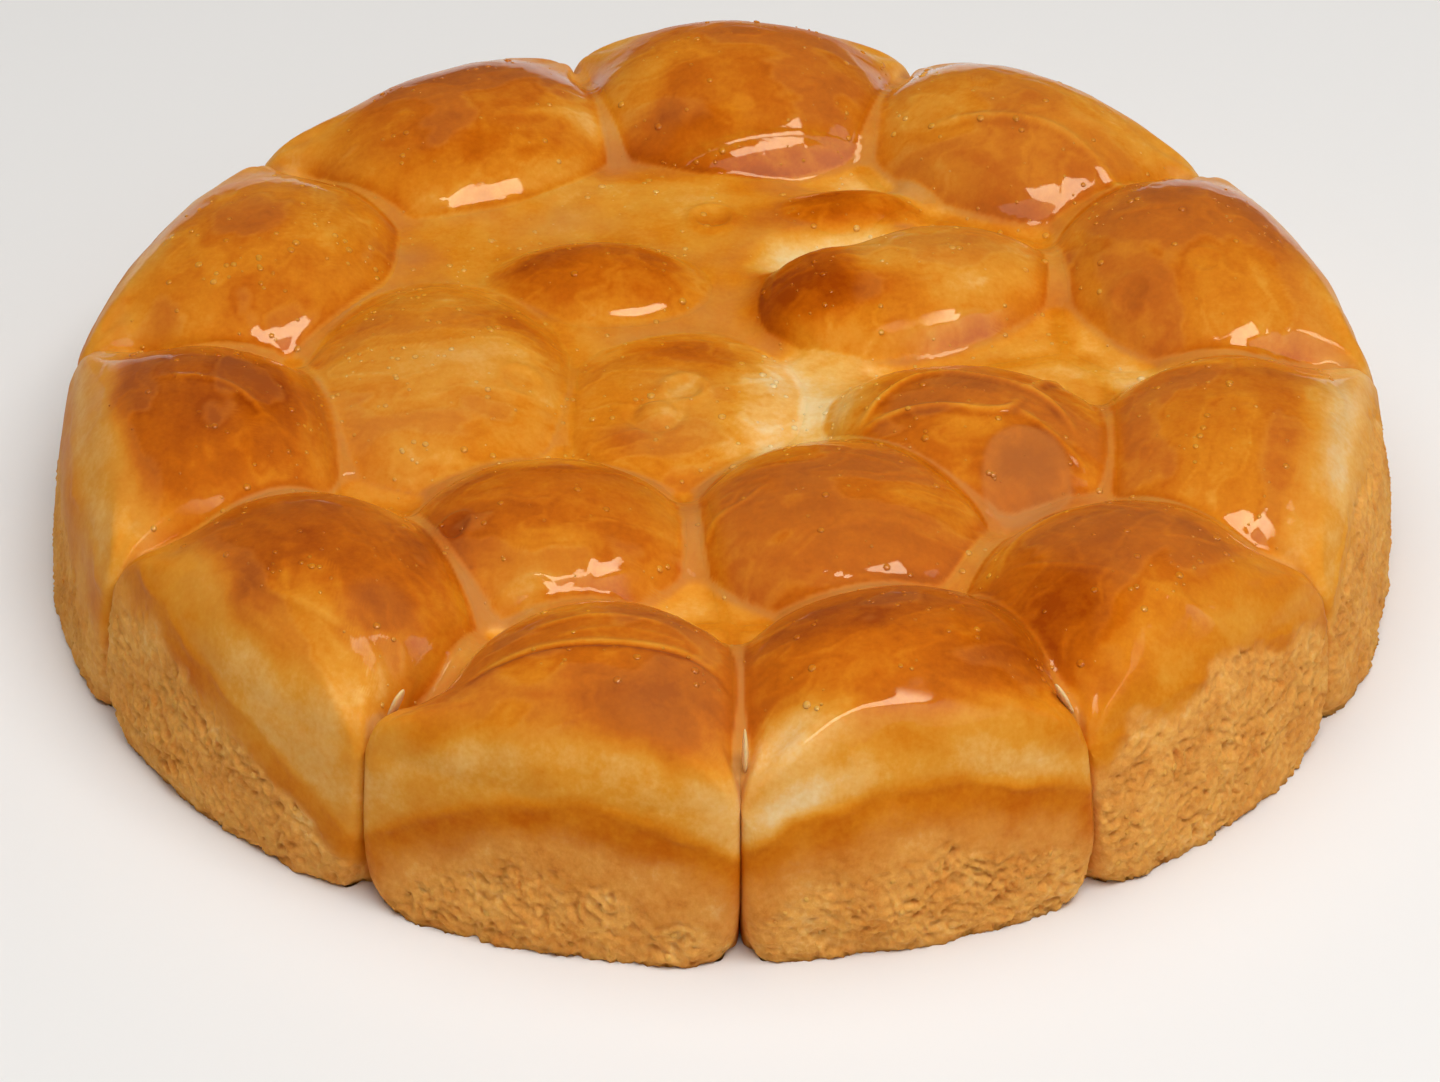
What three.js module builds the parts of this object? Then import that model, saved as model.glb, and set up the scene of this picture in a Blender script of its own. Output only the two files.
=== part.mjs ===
// Pull-apart bread: nineteen rolls of sweet dough, baked touching in a round tin and brushed with
// glaze. Eleven rolls stand round the rim, seven lie in a ring inside them and one is in the centre.
//
// Millimetres, +Z up. The origin is the centre of the flat base, and -Y is the front.
// Azimuths are degrees from the front, turning towards +X.
//
// Each roll is one closed solid, lofted through level rings. A ring is the roll's outline in plan,
// where its neighbours and the wall of the tin pressed it, drawn in towards the crest and the foot.
// Where several limits press, they are summed as powers, so the dough is flat where it touches and
// rounded in between.

import * as THREE from "three";

// The loaf as the tin left it.
const BASE_RADIUS = 126; // where the loaf spread on the tin's base
const SHOULDER_RADIUS = 122; // at the top of the tin's wall, where the domes begin
const TIN_WALL = 27; // height up to which the dough pressed on the tin

// The lie of the rolls.
const RIM_RADIUS = 98; // from the loaf's axis to the middle of each rim roll
const RIM_WAIST = 27; // height at which a rim roll is widest
const INNER_WAIST = 30; // the same for the rolls inside the rim
const SEAM_GAP = 0.3; // between two rolls that touch

// Rim rolls, anticlockwise from the front as seen from above: azimuth and crest height.
const RIM_ROLLS = [
  [17, 51],
  [46, 48],
  [77, 45],
  [112, 47],
  [145, 47],
  [178, 49],
  [211, 46],
  [246, 45],
  [281, 47],
  [313, 49],
  [346, 50],
];

// The rolls inside the rim: place (x, y), crest height and pull, which is how much of the way to a
// neighbour the roll fills, against the neighbour's own.
const INNER_ROLLS = {
  ring_roll_1: { place: [23, -46], crest: 46, pull: 1 },
  ring_roll_2: { place: [47, -20], crest: 45, pull: 1 },
  ring_roll_3: { place: [35, 32], crest: 44, pull: 1 },
  ring_roll_4: { place: [11, 57], crest: 38, pull: 0.85 },
  ring_roll_5: { place: [-19, 40], crest: 42, pull: 1 },
  ring_roll_6: { place: [-53, -8], crest: 42, pull: 1 },
  ring_roll_7: { place: [-28, -53], crest: 46, pull: 1 },
  centre_roll: { place: [-3, -9], crest: 38, pull: 1 },
};

// How hard the dough is pressed: a high power leaves a tight corner, a low one a soft curve.
const WAIST_CORNERS = 16; // in plan at the waist, where three rolls meet
const CREST_CORNERS = 6; // the same near the crest, where nothing presses
const WALL_CORNERS = 9; // in plan, where the seam of two rim rolls comes out at the wall
const DOME_CURVE = 2; // over the top
const FOOT_CURVE = 10; // down to the base
const FOOT_SINK = 3; // how far below the base the foot's curve aims, which leaves the base flat

// The loft's rings and the points on each.
const OUTLINE_POINTS = 28;
const FOOT_RINGS = [0, 0.1, 0.4]; // heights as shares of the waist's
const DOME_RINGS = 6; // from the waist up, at equal angles, and then the crest

// The crust is browner on the rolls that rose higher into the oven's heat.
const BROWN_CRUST = 0xc07422;
const PALE_CRUST = 0xd89a48;
const BROWNING_HEIGHT = 43; // a crest at least this high browns fully
const GLAZE_ROUGHNESS = 0.25;

function crustMaterial(crest) {
  return new THREE.MeshStandardMaterial({
    color: crest < BROWNING_HEIGHT ? PALE_CRUST : BROWN_CRUST,
    roughness: GLAZE_ROUGHNESS,
    metalness: 0,
  });
}

// Every roll of the loaf as { name, middle, waist, crest, pull }.
function layOutRolls() {
  const rim = RIM_ROLLS.map(([azimuth, crest], index) => {
    const turn = THREE.MathUtils.degToRad(azimuth);
    const middle = new THREE.Vector2(Math.sin(turn), -Math.cos(turn));
    return {
      name: `rim_roll_${index + 1}`,
      middle: middle.multiplyScalar(RIM_RADIUS),
      waist: RIM_WAIST,
      crest,
      pull: 1,
    };
  });
  const inner = Object.entries(INNER_ROLLS).map(
    ([name, { place, crest, pull }]) => ({
      name,
      middle: new THREE.Vector2(...place),
      waist: INNER_WAIST,
      crest,
      pull,
    }),
  );
  return [...rim, ...inner];
}

// The flats where a roll meets the others: the way to each and how far off it is.
function contactFlats(roll, rolls) {
  return rolls
    .filter((other) => other !== roll)
    .map((other) => {
      const way = other.middle.clone().sub(roll.middle);
      const share = roll.pull / (roll.pull + other.pull);
      const reach = way.length() * share - SEAM_GAP / 2;
      return { way: way.normalize(), reach };
    });
}

// How far the loaf's round wall is from a point inside it, along a unit direction.
function distanceToWall(middle, direction) {
  const along = middle.dot(direction);
  return Math.sqrt(along ** 2 + SHOULDER_RADIUS ** 2 - middle.lengthSq()) - along;
}

function powerSum(terms, power) {
  return terms.reduce((sum, term) => sum + term ** power, 0) ** (1 / power);
}

// How far a roll's outline is from its middle, along a unit direction.
function outlineReach(roll, flats, direction, corners) {
  const pressed = flats.map(
    ({ way, reach }) => Math.max(0, direction.dot(way)) / reach,
  );
  const atFlats = powerSum(pressed, corners);
  const atWall = 1 / distanceToWall(roll.middle, direction);
  return 1 / powerSum([atFlats, atWall], WALL_CORNERS);
}

// The level rings of a roll from its base up: height, width as a share of the waist's, and corners.
function ringsOf(roll) {
  const foot = FOOT_RINGS.map((share) => {
    const drop = (roll.waist * (1 - share)) / (roll.waist + FOOT_SINK);
    return {
      height: roll.waist * share,
      width: (1 - drop ** FOOT_CURVE) ** (1 / FOOT_CURVE),
      corners: WAIST_CORNERS,
    };
  });
  const dome = Array.from({ length: DOME_RINGS }, (_, ring) => {
    const climb = (ring / DOME_RINGS) * (Math.PI / 2);
    const rise = Math.sin(climb) ** (2 / DOME_CURVE);
    return {
      height: THREE.MathUtils.lerp(roll.waist, roll.crest, rise),
      width: Math.cos(climb) ** (2 / DOME_CURVE),
      corners: THREE.MathUtils.lerp(WAIST_CORNERS, CREST_CORNERS, rise),
    };
  });
  return [...foot, ...dome];
}

// The loaf spreads a little towards its base: the scale in plan at a height.
function spreadAt(height) {
  const rise = Math.min(height / TIN_WALL, 1);
  return THREE.MathUtils.lerp(BASE_RADIUS / SHOULDER_RADIUS, 1, rise);
}

// The points of a loft: each ring in turn, then the middle of the base, then the crest.
function loftPoints(roll, flats) {
  const points = [];
  for (const { height, width, corners } of ringsOf(roll)) {
    for (let i = 0; i < OUTLINE_POINTS; i += 1) {
      const turn = (i / OUTLINE_POINTS) * Math.PI * 2;
      const direction = new THREE.Vector2(Math.cos(turn), Math.sin(turn));
      const reach = width * outlineReach(roll, flats, direction, corners);
      const place = direction
        .multiplyScalar(reach)
        .add(roll.middle)
        .multiplyScalar(spreadAt(height));
      points.push(place.x, place.y, height);
    }
  }
  const foot = roll.middle.clone().multiplyScalar(spreadAt(0));
  points.push(foot.x, foot.y, 0);
  points.push(roll.middle.x, roll.middle.y, roll.crest);
  return points;
}

// The triangles of a loft: a fan over the base, a band between each two rings, a fan to the crest.
function loftTriangles(rings) {
  const triangles = [];
  const base = rings * OUTLINE_POINTS;
  const crest = base + 1;
  for (let i = 0; i < OUTLINE_POINTS; i += 1) {
    const next = (i + 1) % OUTLINE_POINTS;
    triangles.push(base, next, i);
    for (let ring = 0; ring < rings - 1; ring += 1) {
      const low = ring * OUTLINE_POINTS;
      const high = low + OUTLINE_POINTS;
      triangles.push(low + i, low + next, high + next);
      triangles.push(low + i, high + next, high + i);
    }
    const top = (rings - 1) * OUTLINE_POINTS;
    triangles.push(top + i, top + next, crest);
  }
  return triangles;
}

function rollGeometry(roll, rolls) {
  const points = loftPoints(roll, contactFlats(roll, rolls));
  const geometry = new THREE.BufferGeometry();
  geometry.setAttribute("position", new THREE.Float32BufferAttribute(points, 3));
  geometry.setIndex(loftTriangles(FOOT_RINGS.length + DOME_RINGS));
  geometry.computeVertexNormals();
  return geometry;
}

function buildLoaf() {
  const rolls = layOutRolls();
  const loaf = new THREE.Group();
  for (const roll of rolls) {
    const mesh = new THREE.Mesh(
      rollGeometry(roll, rolls),
      crustMaterial(roll.crest),
    );
    mesh.name = roll.name;
    loaf.add(mesh);
  }
  return loaf;
}

export default buildLoaf();
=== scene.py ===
"""Pull-apart bread: the looks of a glazed loaf of soft rolls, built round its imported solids.

Nineteen rolls of enriched dough were baked touching in a round tin. Their domes browned under a
honey glaze that ran into the creases, and the tin left a rough golden wall round the loaf.

Lengths are millimetres, turned to metres when a mesh is made. The origin is the centre of the
flat base, +Z is up and -Y is the front. Azimuths are degrees from the front, towards +X.
"""

from __future__ import annotations

import itertools
import logging
import math
from dataclasses import dataclass, field
from enum import Enum
from functools import partial
from typing import Iterable, Sequence

import bpy
import numpy as np
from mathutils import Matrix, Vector


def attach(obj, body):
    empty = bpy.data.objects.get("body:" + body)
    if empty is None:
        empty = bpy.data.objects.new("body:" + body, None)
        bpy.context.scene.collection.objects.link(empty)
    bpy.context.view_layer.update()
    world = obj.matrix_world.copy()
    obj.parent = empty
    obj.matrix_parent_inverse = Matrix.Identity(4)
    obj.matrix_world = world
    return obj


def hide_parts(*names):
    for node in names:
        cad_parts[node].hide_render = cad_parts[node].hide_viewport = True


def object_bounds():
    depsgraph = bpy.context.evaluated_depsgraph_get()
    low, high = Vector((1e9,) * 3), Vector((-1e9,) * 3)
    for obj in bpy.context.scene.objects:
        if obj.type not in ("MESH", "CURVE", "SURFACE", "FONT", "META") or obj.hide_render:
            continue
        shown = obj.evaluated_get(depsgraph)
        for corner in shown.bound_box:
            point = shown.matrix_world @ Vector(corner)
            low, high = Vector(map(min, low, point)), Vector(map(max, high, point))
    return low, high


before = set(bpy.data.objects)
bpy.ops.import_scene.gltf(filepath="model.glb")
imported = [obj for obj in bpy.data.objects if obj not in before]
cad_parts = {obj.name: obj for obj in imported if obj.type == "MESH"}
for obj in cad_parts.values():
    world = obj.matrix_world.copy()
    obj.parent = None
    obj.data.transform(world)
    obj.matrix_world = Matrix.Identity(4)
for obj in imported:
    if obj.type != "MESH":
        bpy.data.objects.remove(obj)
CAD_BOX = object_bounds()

LOG = logging.getLogger("pull_apart_bread")
MM = 0.001  # metres in a millimetre
TINY = 1e-9  # keeps a division off zero

Place = tuple[float, float]
Triple = tuple[float, float, float]


def smooth_step(values: np.ndarray, low: float, high: float) -> np.ndarray:
    """Ease values from 0 at low to 1 at high."""
    share = np.clip((values - low) / (high - low), 0.0, 1.0)
    return share * share * (3.0 - 2.0 * share)


def bell(values: np.ndarray, middle: float, width: float) -> np.ndarray:
    """A soft hump, 1 at its middle."""
    return np.exp(-(((values - middle) / width) ** 2))


def smooth_max(first: np.ndarray, second: np.ndarray, blend: float) -> np.ndarray:
    """The higher of two values, rounded where they cross, over a blend in their own unit."""
    gap = np.maximum(blend - np.abs(first - second), 0.0) / blend
    return np.maximum(first, second) + gap * gap * blend * 0.25


def round_corner(first: np.ndarray, second: np.ndarray, blend: float | np.ndarray) -> np.ndarray:
    """The higher of two shares, rounded in proportion where they cross."""
    high = np.maximum(np.maximum(first, second), TINY)
    gap = np.maximum(blend - 1.0 + np.minimum(first, second) / high, 0.0) / blend
    return high * (1.0 + gap * gap * blend * 0.25)


def across_roll(heights: Triple, share: np.ndarray) -> np.ndarray:
    """A height through three set ones: at a roll's left seam, its middle and its right seam."""
    left, middle, right = heights
    return middle + (right - left) / 2 * share + ((left + right) / 2 - middle) * share**2


def share_of_oval(plan: np.ndarray, place: Place, size: Place, degrees: float) -> np.ndarray:
    """How far points in plan are from an oval's centre, as shares of the way to its edge.

    Args:
        plan: The points, one row each.
        place: The oval's centre.
        size: Its semi-axes.
        degrees: How far it is turned, anticlockwise from above.

    Returns:
        One share for each point.
    """
    turn = math.radians(degrees)
    x, y = (plan - np.array(place)).T
    u = (x * math.cos(turn) + y * math.sin(turn)) / size[0]
    v = (y * math.cos(turn) - x * math.sin(turn)) / size[1]
    return np.hypot(u, v)


def grid_quads(index: np.ndarray) -> np.ndarray:
    """What a grid has at the four corners of each of its squares."""
    return np.stack([index[:-1, :-1], index[1:, :-1], index[1:, 1:], index[:-1, 1:]], axis=-1)


@dataclass(frozen=True)
class Grain:
    """Unevenness of one size."""

    size: float | Triple  # of a swelling, the same all ways or one for each axis
    layers: int = 1  # the second is half as wide and half as strong as the first, and so on
    shift: float = 0.0  # where in the noise it is taken, so that no two grains run together
    strength: float = 1.0


class GradientNoise:
    """Smooth seeded noise in space, about -1 to 1."""

    CORNERS = tuple(itertools.product((0, 1), repeat=3))
    LAYER_SHIFT = 37.0
    LEVEL = 1.6  # brings it to about -1 to 1

    def __init__(self, seed: int) -> None:
        """Draw the lattice's slopes from a seed."""
        rng = np.random.default_rng(seed)
        self.order = rng.permutation(256)
        slopes = rng.normal(size=(256, 3))
        self.slopes = slopes / np.linalg.norm(slopes, axis=1, keepdims=True)

    def at(self, points: np.ndarray, grain: Grain) -> np.ndarray:
        """How uneven a grain is at points, one value for each.

        Args:
            points: Places, one row each.
            grain: The kind of unevenness.

        Returns:
            One value for each point.
        """
        total = np.zeros(len(points))
        for layer in range(grain.layers):
            share = 0.5**layer
            moved = points + grain.shift + self.LAYER_SHIFT * layer
            total += self.swell(moved / (np.asarray(grain.size, float) * share)) * share
        return total * grain.strength

    def swell(self, scaled: np.ndarray) -> np.ndarray:
        """Noise whose swellings are one lattice step wide.

        Args:
            scaled: Places in steps of the lattice.

        Returns:
            One value for each place.
        """
        cell = np.floor(scaled).astype(np.int64)
        part = scaled - cell
        ease = part**3 * (part * (part * 6.0 - 15.0) + 10.0)
        total = np.zeros(len(scaled))
        for corner in self.CORNERS:
            x, y, z = ((cell + corner) & 255).T
            pick = self.order[(self.order[(self.order[x] + y) & 255] + z) & 255]
            slope = ((part - corner) * self.slopes[pick]).sum(axis=1)
            total += slope * np.prod(np.where(corner, ease, 1.0 - ease), axis=1)
        return total * self.LEVEL


# ---------------------------------------------------------------- the loaf's form


@dataclass(frozen=True)
class Tin:
    """What the round tin pressed into the loaf."""

    shoulder: float  # radius where the domes begin
    base: float  # radius where the dough spread on the tin's base
    wall: float = 27.0  # height up to which the dough pressed on the tin

    def spread(self, heights: np.ndarray) -> np.ndarray:
        """The scale in plan at each height, because the loaf spreads a little to its base."""
        drop = 1.0 - np.clip(heights / self.wall, 0.0, 1.0)
        return 1.0 + (self.base / self.shoulder - 1.0) * drop**2


@dataclass(frozen=True)
class RollLook:
    """How one roll's dome rose: an oval in plan, its lean off the roll's middle, its baking."""

    oval: Place = (32, 30)  # semi-axes: across and along the way the oval points
    lean: Place = (0, 0)
    turn: float = 0  # degrees the oval is turned, anticlockwise from above
    dome: float = 2.0  # power of the curve over the top: higher is flatter
    bake: float = 0.72  # how brown its crest is
    gold: float = 0.30  # how brown its outward slope is
    rim: float = 0.26  # and the lowest part of that slope
    band: float = 0.62  # and the smooth band between that slope and the rough wall
    edge: Triple = (28, 31, 28)  # height of the glaze's lower edge: left, middle, right
    arch: Triple = (10, 21, 10)  # height where the rough wall ends, the same way


@dataclass
class Roll:
    """One roll of the loaf."""

    name: str
    middle: np.ndarray  # where its contact flats are measured from, in plan
    crest: float
    waist: float  # height where it is widest
    pull: float  # how much of the way to a neighbour it fills, against the neighbour's pull
    look: RollLook
    tin: Tin
    flats: list[tuple[np.ndarray, float]] = field(default_factory=list)

    SEAM_CORNER = 0.10  # how round the seam of two rim rolls is at the wall, as a share
    FOOT_CORNER = 0.42  # the same at the base
    CREST_CORNER = 0.80  # and higher up the dome
    CORNER_ZONE = (0.6, 1.0)  # shares of the way out between which one turns to the other
    SEAM_ZONE = (0.25, 0.9)  # and between which the oval gives way to the seams and the wall
    OUTWARD = (-0.24, -0.10)  # the wall's lead over the flats where the outward side begins
    SEAM_SHARE = 0.985  # how far down its curve a dome has come where it meets the next
    FOOT_CURVE = 10.0  # power of the curve that turns the side under at the base
    FOOT_SINK = 3.0  # how far under the base that curve would end
    FOOT_HEIGHT = 17.0  # up to which the seams open towards the base
    STROKES_APART = (3.1, 1.7)  # keeps one roll's brush strokes apart from the next one's

    @property
    def on_rim(self) -> bool:
        """Whether the roll stands against the wall of the tin."""
        return self.name.startswith("rim")

    def meet(self, others: Iterable[Roll]) -> None:
        """Work out the flats where the roll presses on the others."""
        for other in others:
            way = other.middle - self.middle
            between = float(np.hypot(*way))
            reach = between * self.pull / (self.pull + other.pull)
            self.flats.append((way / between, reach))

    def limits(self, plan: np.ndarray) -> tuple[np.ndarray, np.ndarray]:
        """How far out points lie, as shares of the way to the contact flats and to the wall.

        Args:
            plan: Points in plan.

        Returns:
            Both shares for each point.
        """
        offset = plan - self.middle
        at_flats = np.max([offset @ way / reach for way, reach in self.flats], axis=0)
        room = self.tin.shoulder**2 - float(self.middle @ self.middle)
        along = offset @ self.middle
        at_wall = (along + np.sqrt(along**2 + (offset**2).sum(axis=1) * room)) / room
        return np.maximum(at_flats, 0.0), at_wall

    def outline(self, plan: np.ndarray, corner: float = SEAM_CORNER) -> np.ndarray:
        """The share of the way from the middle to the roll's outline."""
        at_flats, at_wall = self.limits(plan)
        return round_corner(at_flats, at_wall, corner) if self.on_rim else at_flats

    def outwardness(self, plan: np.ndarray) -> np.ndarray:
        """How much a way out ends on the wall and not on a contact flat, 0 to 1.

        Args:
            plan: Points in plan, which stand for ways out from the middle.

        Returns:
            One value for each point.
        """
        if not self.on_rim:
            return np.zeros(len(plan))
        at_flats, at_wall = self.limits(plan)
        lead = (at_wall - at_flats) / np.maximum(np.maximum(at_wall, at_flats), TINY)
        return smooth_step(lead, *self.OUTWARD)

    def axes(self) -> tuple[np.ndarray, np.ndarray]:
        """The ways across and along the dome's oval, in plan."""
        turn = math.radians(self.look.turn)
        if self.on_rim:
            turn += math.atan2(self.middle[0], -self.middle[1])
        across = np.array([math.cos(turn), math.sin(turn)])
        return across, np.array([-across[1], across[0]])

    def stroke_axes(self, plan: np.ndarray) -> np.ndarray:
        """Points in plan as places along the brush's strokes, across them, and from this roll."""
        across, along = self.axes()
        offset = plan - self.middle
        x, y = self.middle * self.STROKES_APART
        return np.column_stack([offset @ across, offset @ along, np.full(len(plan), x + y)])

    def dome_height(self, plan: np.ndarray) -> np.ndarray:
        """The height of the bare dome over points in plan, and 0 beyond it.

        Args:
            plan: Points in plan.

        Returns:
            One height for each point.
        """
        look = self.look
        across, along = self.axes()
        offset = plan - self.middle - (across * look.lean[0] + along * look.lean[1])
        oval = np.hypot(offset @ across / look.oval[0], offset @ along / look.oval[1])
        if self.on_rim:
            at_flats, at_wall = self.limits(plan)
            high = smooth_step(np.maximum(at_flats, at_wall), *self.CORNER_ZONE)
            corner = self.CREST_CORNER + (self.SEAM_CORNER - self.CREST_CORNER) * high
            seam = round_corner(at_flats * self.SEAM_SHARE, at_wall, corner)
            oval += (seam - oval) * smooth_step(at_wall, *self.SEAM_ZONE)
        rise = (1.0 - np.clip(oval, 0.0, 1.0) ** look.dome) ** (1.0 / look.dome)
        return np.where(oval < 1.0, self.waist + (self.crest - self.waist) * rise, 0.0)


# ---------------------------------------------------------------- marks on the top


def smooth_route(points: Sequence[Place], spacing: float = 1.2) -> np.ndarray:
    """A smooth curve through given points, as points about a spacing apart.

    Args:
        points: The given points.
        spacing: About how far apart the new points are.

    Returns:
        The curve's points in order.
    """
    knots = np.array([points[0], *points, points[-1]], float)
    parts = []
    for before, start, end, after in zip(knots, knots[1:], knots[2:], knots[3:]):
        count = max(2, int(np.hypot(*(end - start)) / spacing))
        t = (np.arange(count) / count)[:, None]
        square = 2 * before - 5 * start + 4 * end - after
        cube = 3 * start - before - 3 * end + after
        parts.append(0.5 * (2 * start + (end - before) * t + square * t**2 + cube * t**3))
    return np.concatenate([*parts, knots[-1:]])


class Mark(Enum):
    """What a line in the glaze is."""

    RIDGE = "ridge"  # a raised wrinkle
    STEP = "step"  # the edge of a thicker film, raised on the left of the way it runs


@dataclass(frozen=True)
class Line:
    """A line in the set glaze."""

    route: tuple[Place, ...]
    height: float = 0.3
    width: float = 1.0
    kind: Mark = Mark.RIDGE
    bake: float = 0.0  # how much browner it is painted along it; on a ridge painted paler, this is a painted highlight on its crest and painted shade at its foot

    TAPER = 0.18  # the share of it, at each end, over which it fades
    MARGIN = 6.0  # its effect is worked out this far round it
    MARGIN_WIDTHS = 14.0  # and this many of its widths more
    RIDGE_SHADOW = (-1.3, 0.7, 0.8)  # where the painted shadow along a ridge's foot lies and how wide, in widths, and how strong
    RISE = 0.4  # half of what a step rises over, in widths
    FALL = 6.0  # what it dies away over

    def near(self, plan: np.ndarray) -> np.ndarray:
        """Which points in plan it can reach.

        Args:
            plan: Points in plan.

        Returns:
            The numbers of those points.
        """
        route = np.array(self.route)
        margin = self.MARGIN + self.MARGIN_WIDTHS * self.width
        inside = (plan > route.min(axis=0) - margin) & (plan < route.max(axis=0) + margin)
        return np.flatnonzero(inside.all(axis=1))

    def lift(self, plan: np.ndarray) -> tuple[np.ndarray, np.ndarray]:
        """How much the line raises points in plan, and how strongly it marks them.

        Args:
            plan: Points in plan.

        Returns:
            The two values for each point.
        """
        route = smooth_route(self.route)
        start, run = route[:-1], np.diff(route, axis=0)
        length = (run**2).sum(axis=1)
        best = np.full(len(plan), np.inf)
        side, along = np.zeros(len(plan)), np.zeros(len(plan))
        for index in range(len(run)):
            offset = plan - start[index]
            t = np.clip(offset @ run[index] / length[index], 0.0, 1.0)
            gap = np.hypot(*(offset - t[:, None] * run[index]).T)
            nearer = gap < best
            cross = run[index][0] * offset[:, 1] - run[index][1] * offset[:, 0]
            side = np.where(nearer, np.sign(cross), side)
            along = np.where(nearer, (index + t) / len(run), along)
            best = np.minimum(best, gap)
        ends = smooth_step(along, 0.0, self.TAPER) * smooth_step(1.0 - along, 0.0, self.TAPER)
        mark = bell(best, 0.0, self.width) * ends
        signed = best * side
        if self.kind is Mark.RIDGE:
            # Its mark is its crest less a line along the foot of its right side: with a paler bake, a painted
            # highlight on the crest and a painted shadow at the foot.
            middle, width, strength = self.RIDGE_SHADOW
            foot = bell(signed, middle * self.width, width * self.width) * ends
            return self.height * mark, mark - strength * foot
        raised = smooth_step(signed, -self.RISE * self.width, self.RISE * self.width)
        fall = np.exp(-np.maximum(signed, 0.0) / (self.FALL * self.width))
        return self.height * raised * fall * ends, mark


@dataclass(frozen=True)
class Patch:
    """An oval area of the top that differs from the rest, with a ragged soft edge."""

    place: Place
    size: Place
    turn: float = 0.0
    bake: float = 0.0  # how much browner
    milk: float = 0.0  # how much milkier the glaze is
    wet: float = 0.0  # how much thicker and glossier the glaze is
    lift: float = 0.0  # how much higher the surface
    soft: float = 0.7  # how much of it is its edge
    ragged: float = 0.25  # how uneven that edge is

    REACH = 1.8  # how far from its centre its effect is worked out, in its longer semi-axis

    def share(self, plan: np.ndarray, warp: np.ndarray) -> np.ndarray:
        """How much of the patch is at points in plan, 0 to 1."""
        inside = 1.0 - share_of_oval(plan, self.place, self.size, self.turn) - warp * self.ragged
        return smooth_step(inside, -0.5 * self.soft, 0.5 * self.soft)


@dataclass(frozen=True)
class Ring:
    """The low rim that a burst bubble left in the glaze, round a shallow dimple."""

    place: Place
    radius: float
    height: float = 0.35
    bake: float = 0.1

    RIM = 0.28  # how wide the rim is, as a share of the radius
    DIMPLE_EDGE = 0.6  # how much of the radius the dimple's edge takes
    DIMPLE_DEPTH = 0.8  # as a share of the rim's height
    RIM_MARK = 0.5  # how strongly the rim is marked, against the dimple
    REACH = 3.0  # how far its effect is worked out, in radii

    def out(self, plan: np.ndarray) -> np.ndarray:
        """How far points in plan are from its centre, in radii."""
        return np.hypot(*(plan - np.array(self.place)).T) / self.radius

    def near(self, plan: np.ndarray) -> np.ndarray:
        """Which points in plan it can reach."""
        return np.flatnonzero(self.out(plan) < self.REACH)

    def lift(self, plan: np.ndarray) -> tuple[np.ndarray, np.ndarray]:
        """How much the ring raises points in plan, and how strongly it marks them.

        Args:
            plan: Points in plan.

        Returns:
            The two values for each point.
        """
        out = self.out(plan)
        rim = bell(out, 1.0, self.RIM)
        dimple = smooth_step(1.0 - out, 0.0, self.DIMPLE_EDGE)
        return self.height * (rim - self.DIMPLE_DEPTH * dimple), dimple + rim * self.RIM_MARK


@dataclass(frozen=True)
class Pool:
    """Glaze or merged dough that stands nearly level in a hollow."""

    place: Place
    size: Place
    level: float
    turn: float = 0.0
    steep: float = 14.0  # how fast it falls away past its edge

    REACH = 2.5  # how far it is worked out, as a share of its semi-axes
    BLEND = 2.5  # over what difference in height it runs into the domes

    def heights(self, plan: np.ndarray, filled: np.ndarray) -> np.ndarray:
        """The heights of points in plan with the pool laid over them.

        Args:
            plan: The grid's points in plan.
            filled: Their heights so far, as a grid.

        Returns:
            The new heights, as a grid.
        """
        out = share_of_oval(plan, self.place, self.size, self.turn).reshape(filled.shape)
        level = self.level - self.steep * np.maximum(out - 1.0, 0.0) ** 2
        return np.where(out < self.REACH, smooth_max(filled, level, self.BLEND), filled)


@dataclass(frozen=True)
class Topping:
    """Everything that the top of the loaf has beyond its plain domes."""

    pools: tuple[Pool, ...]
    patches: tuple[Patch, ...]
    lines: tuple[Line, ...]
    rings: tuple[Ring, ...]


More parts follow.
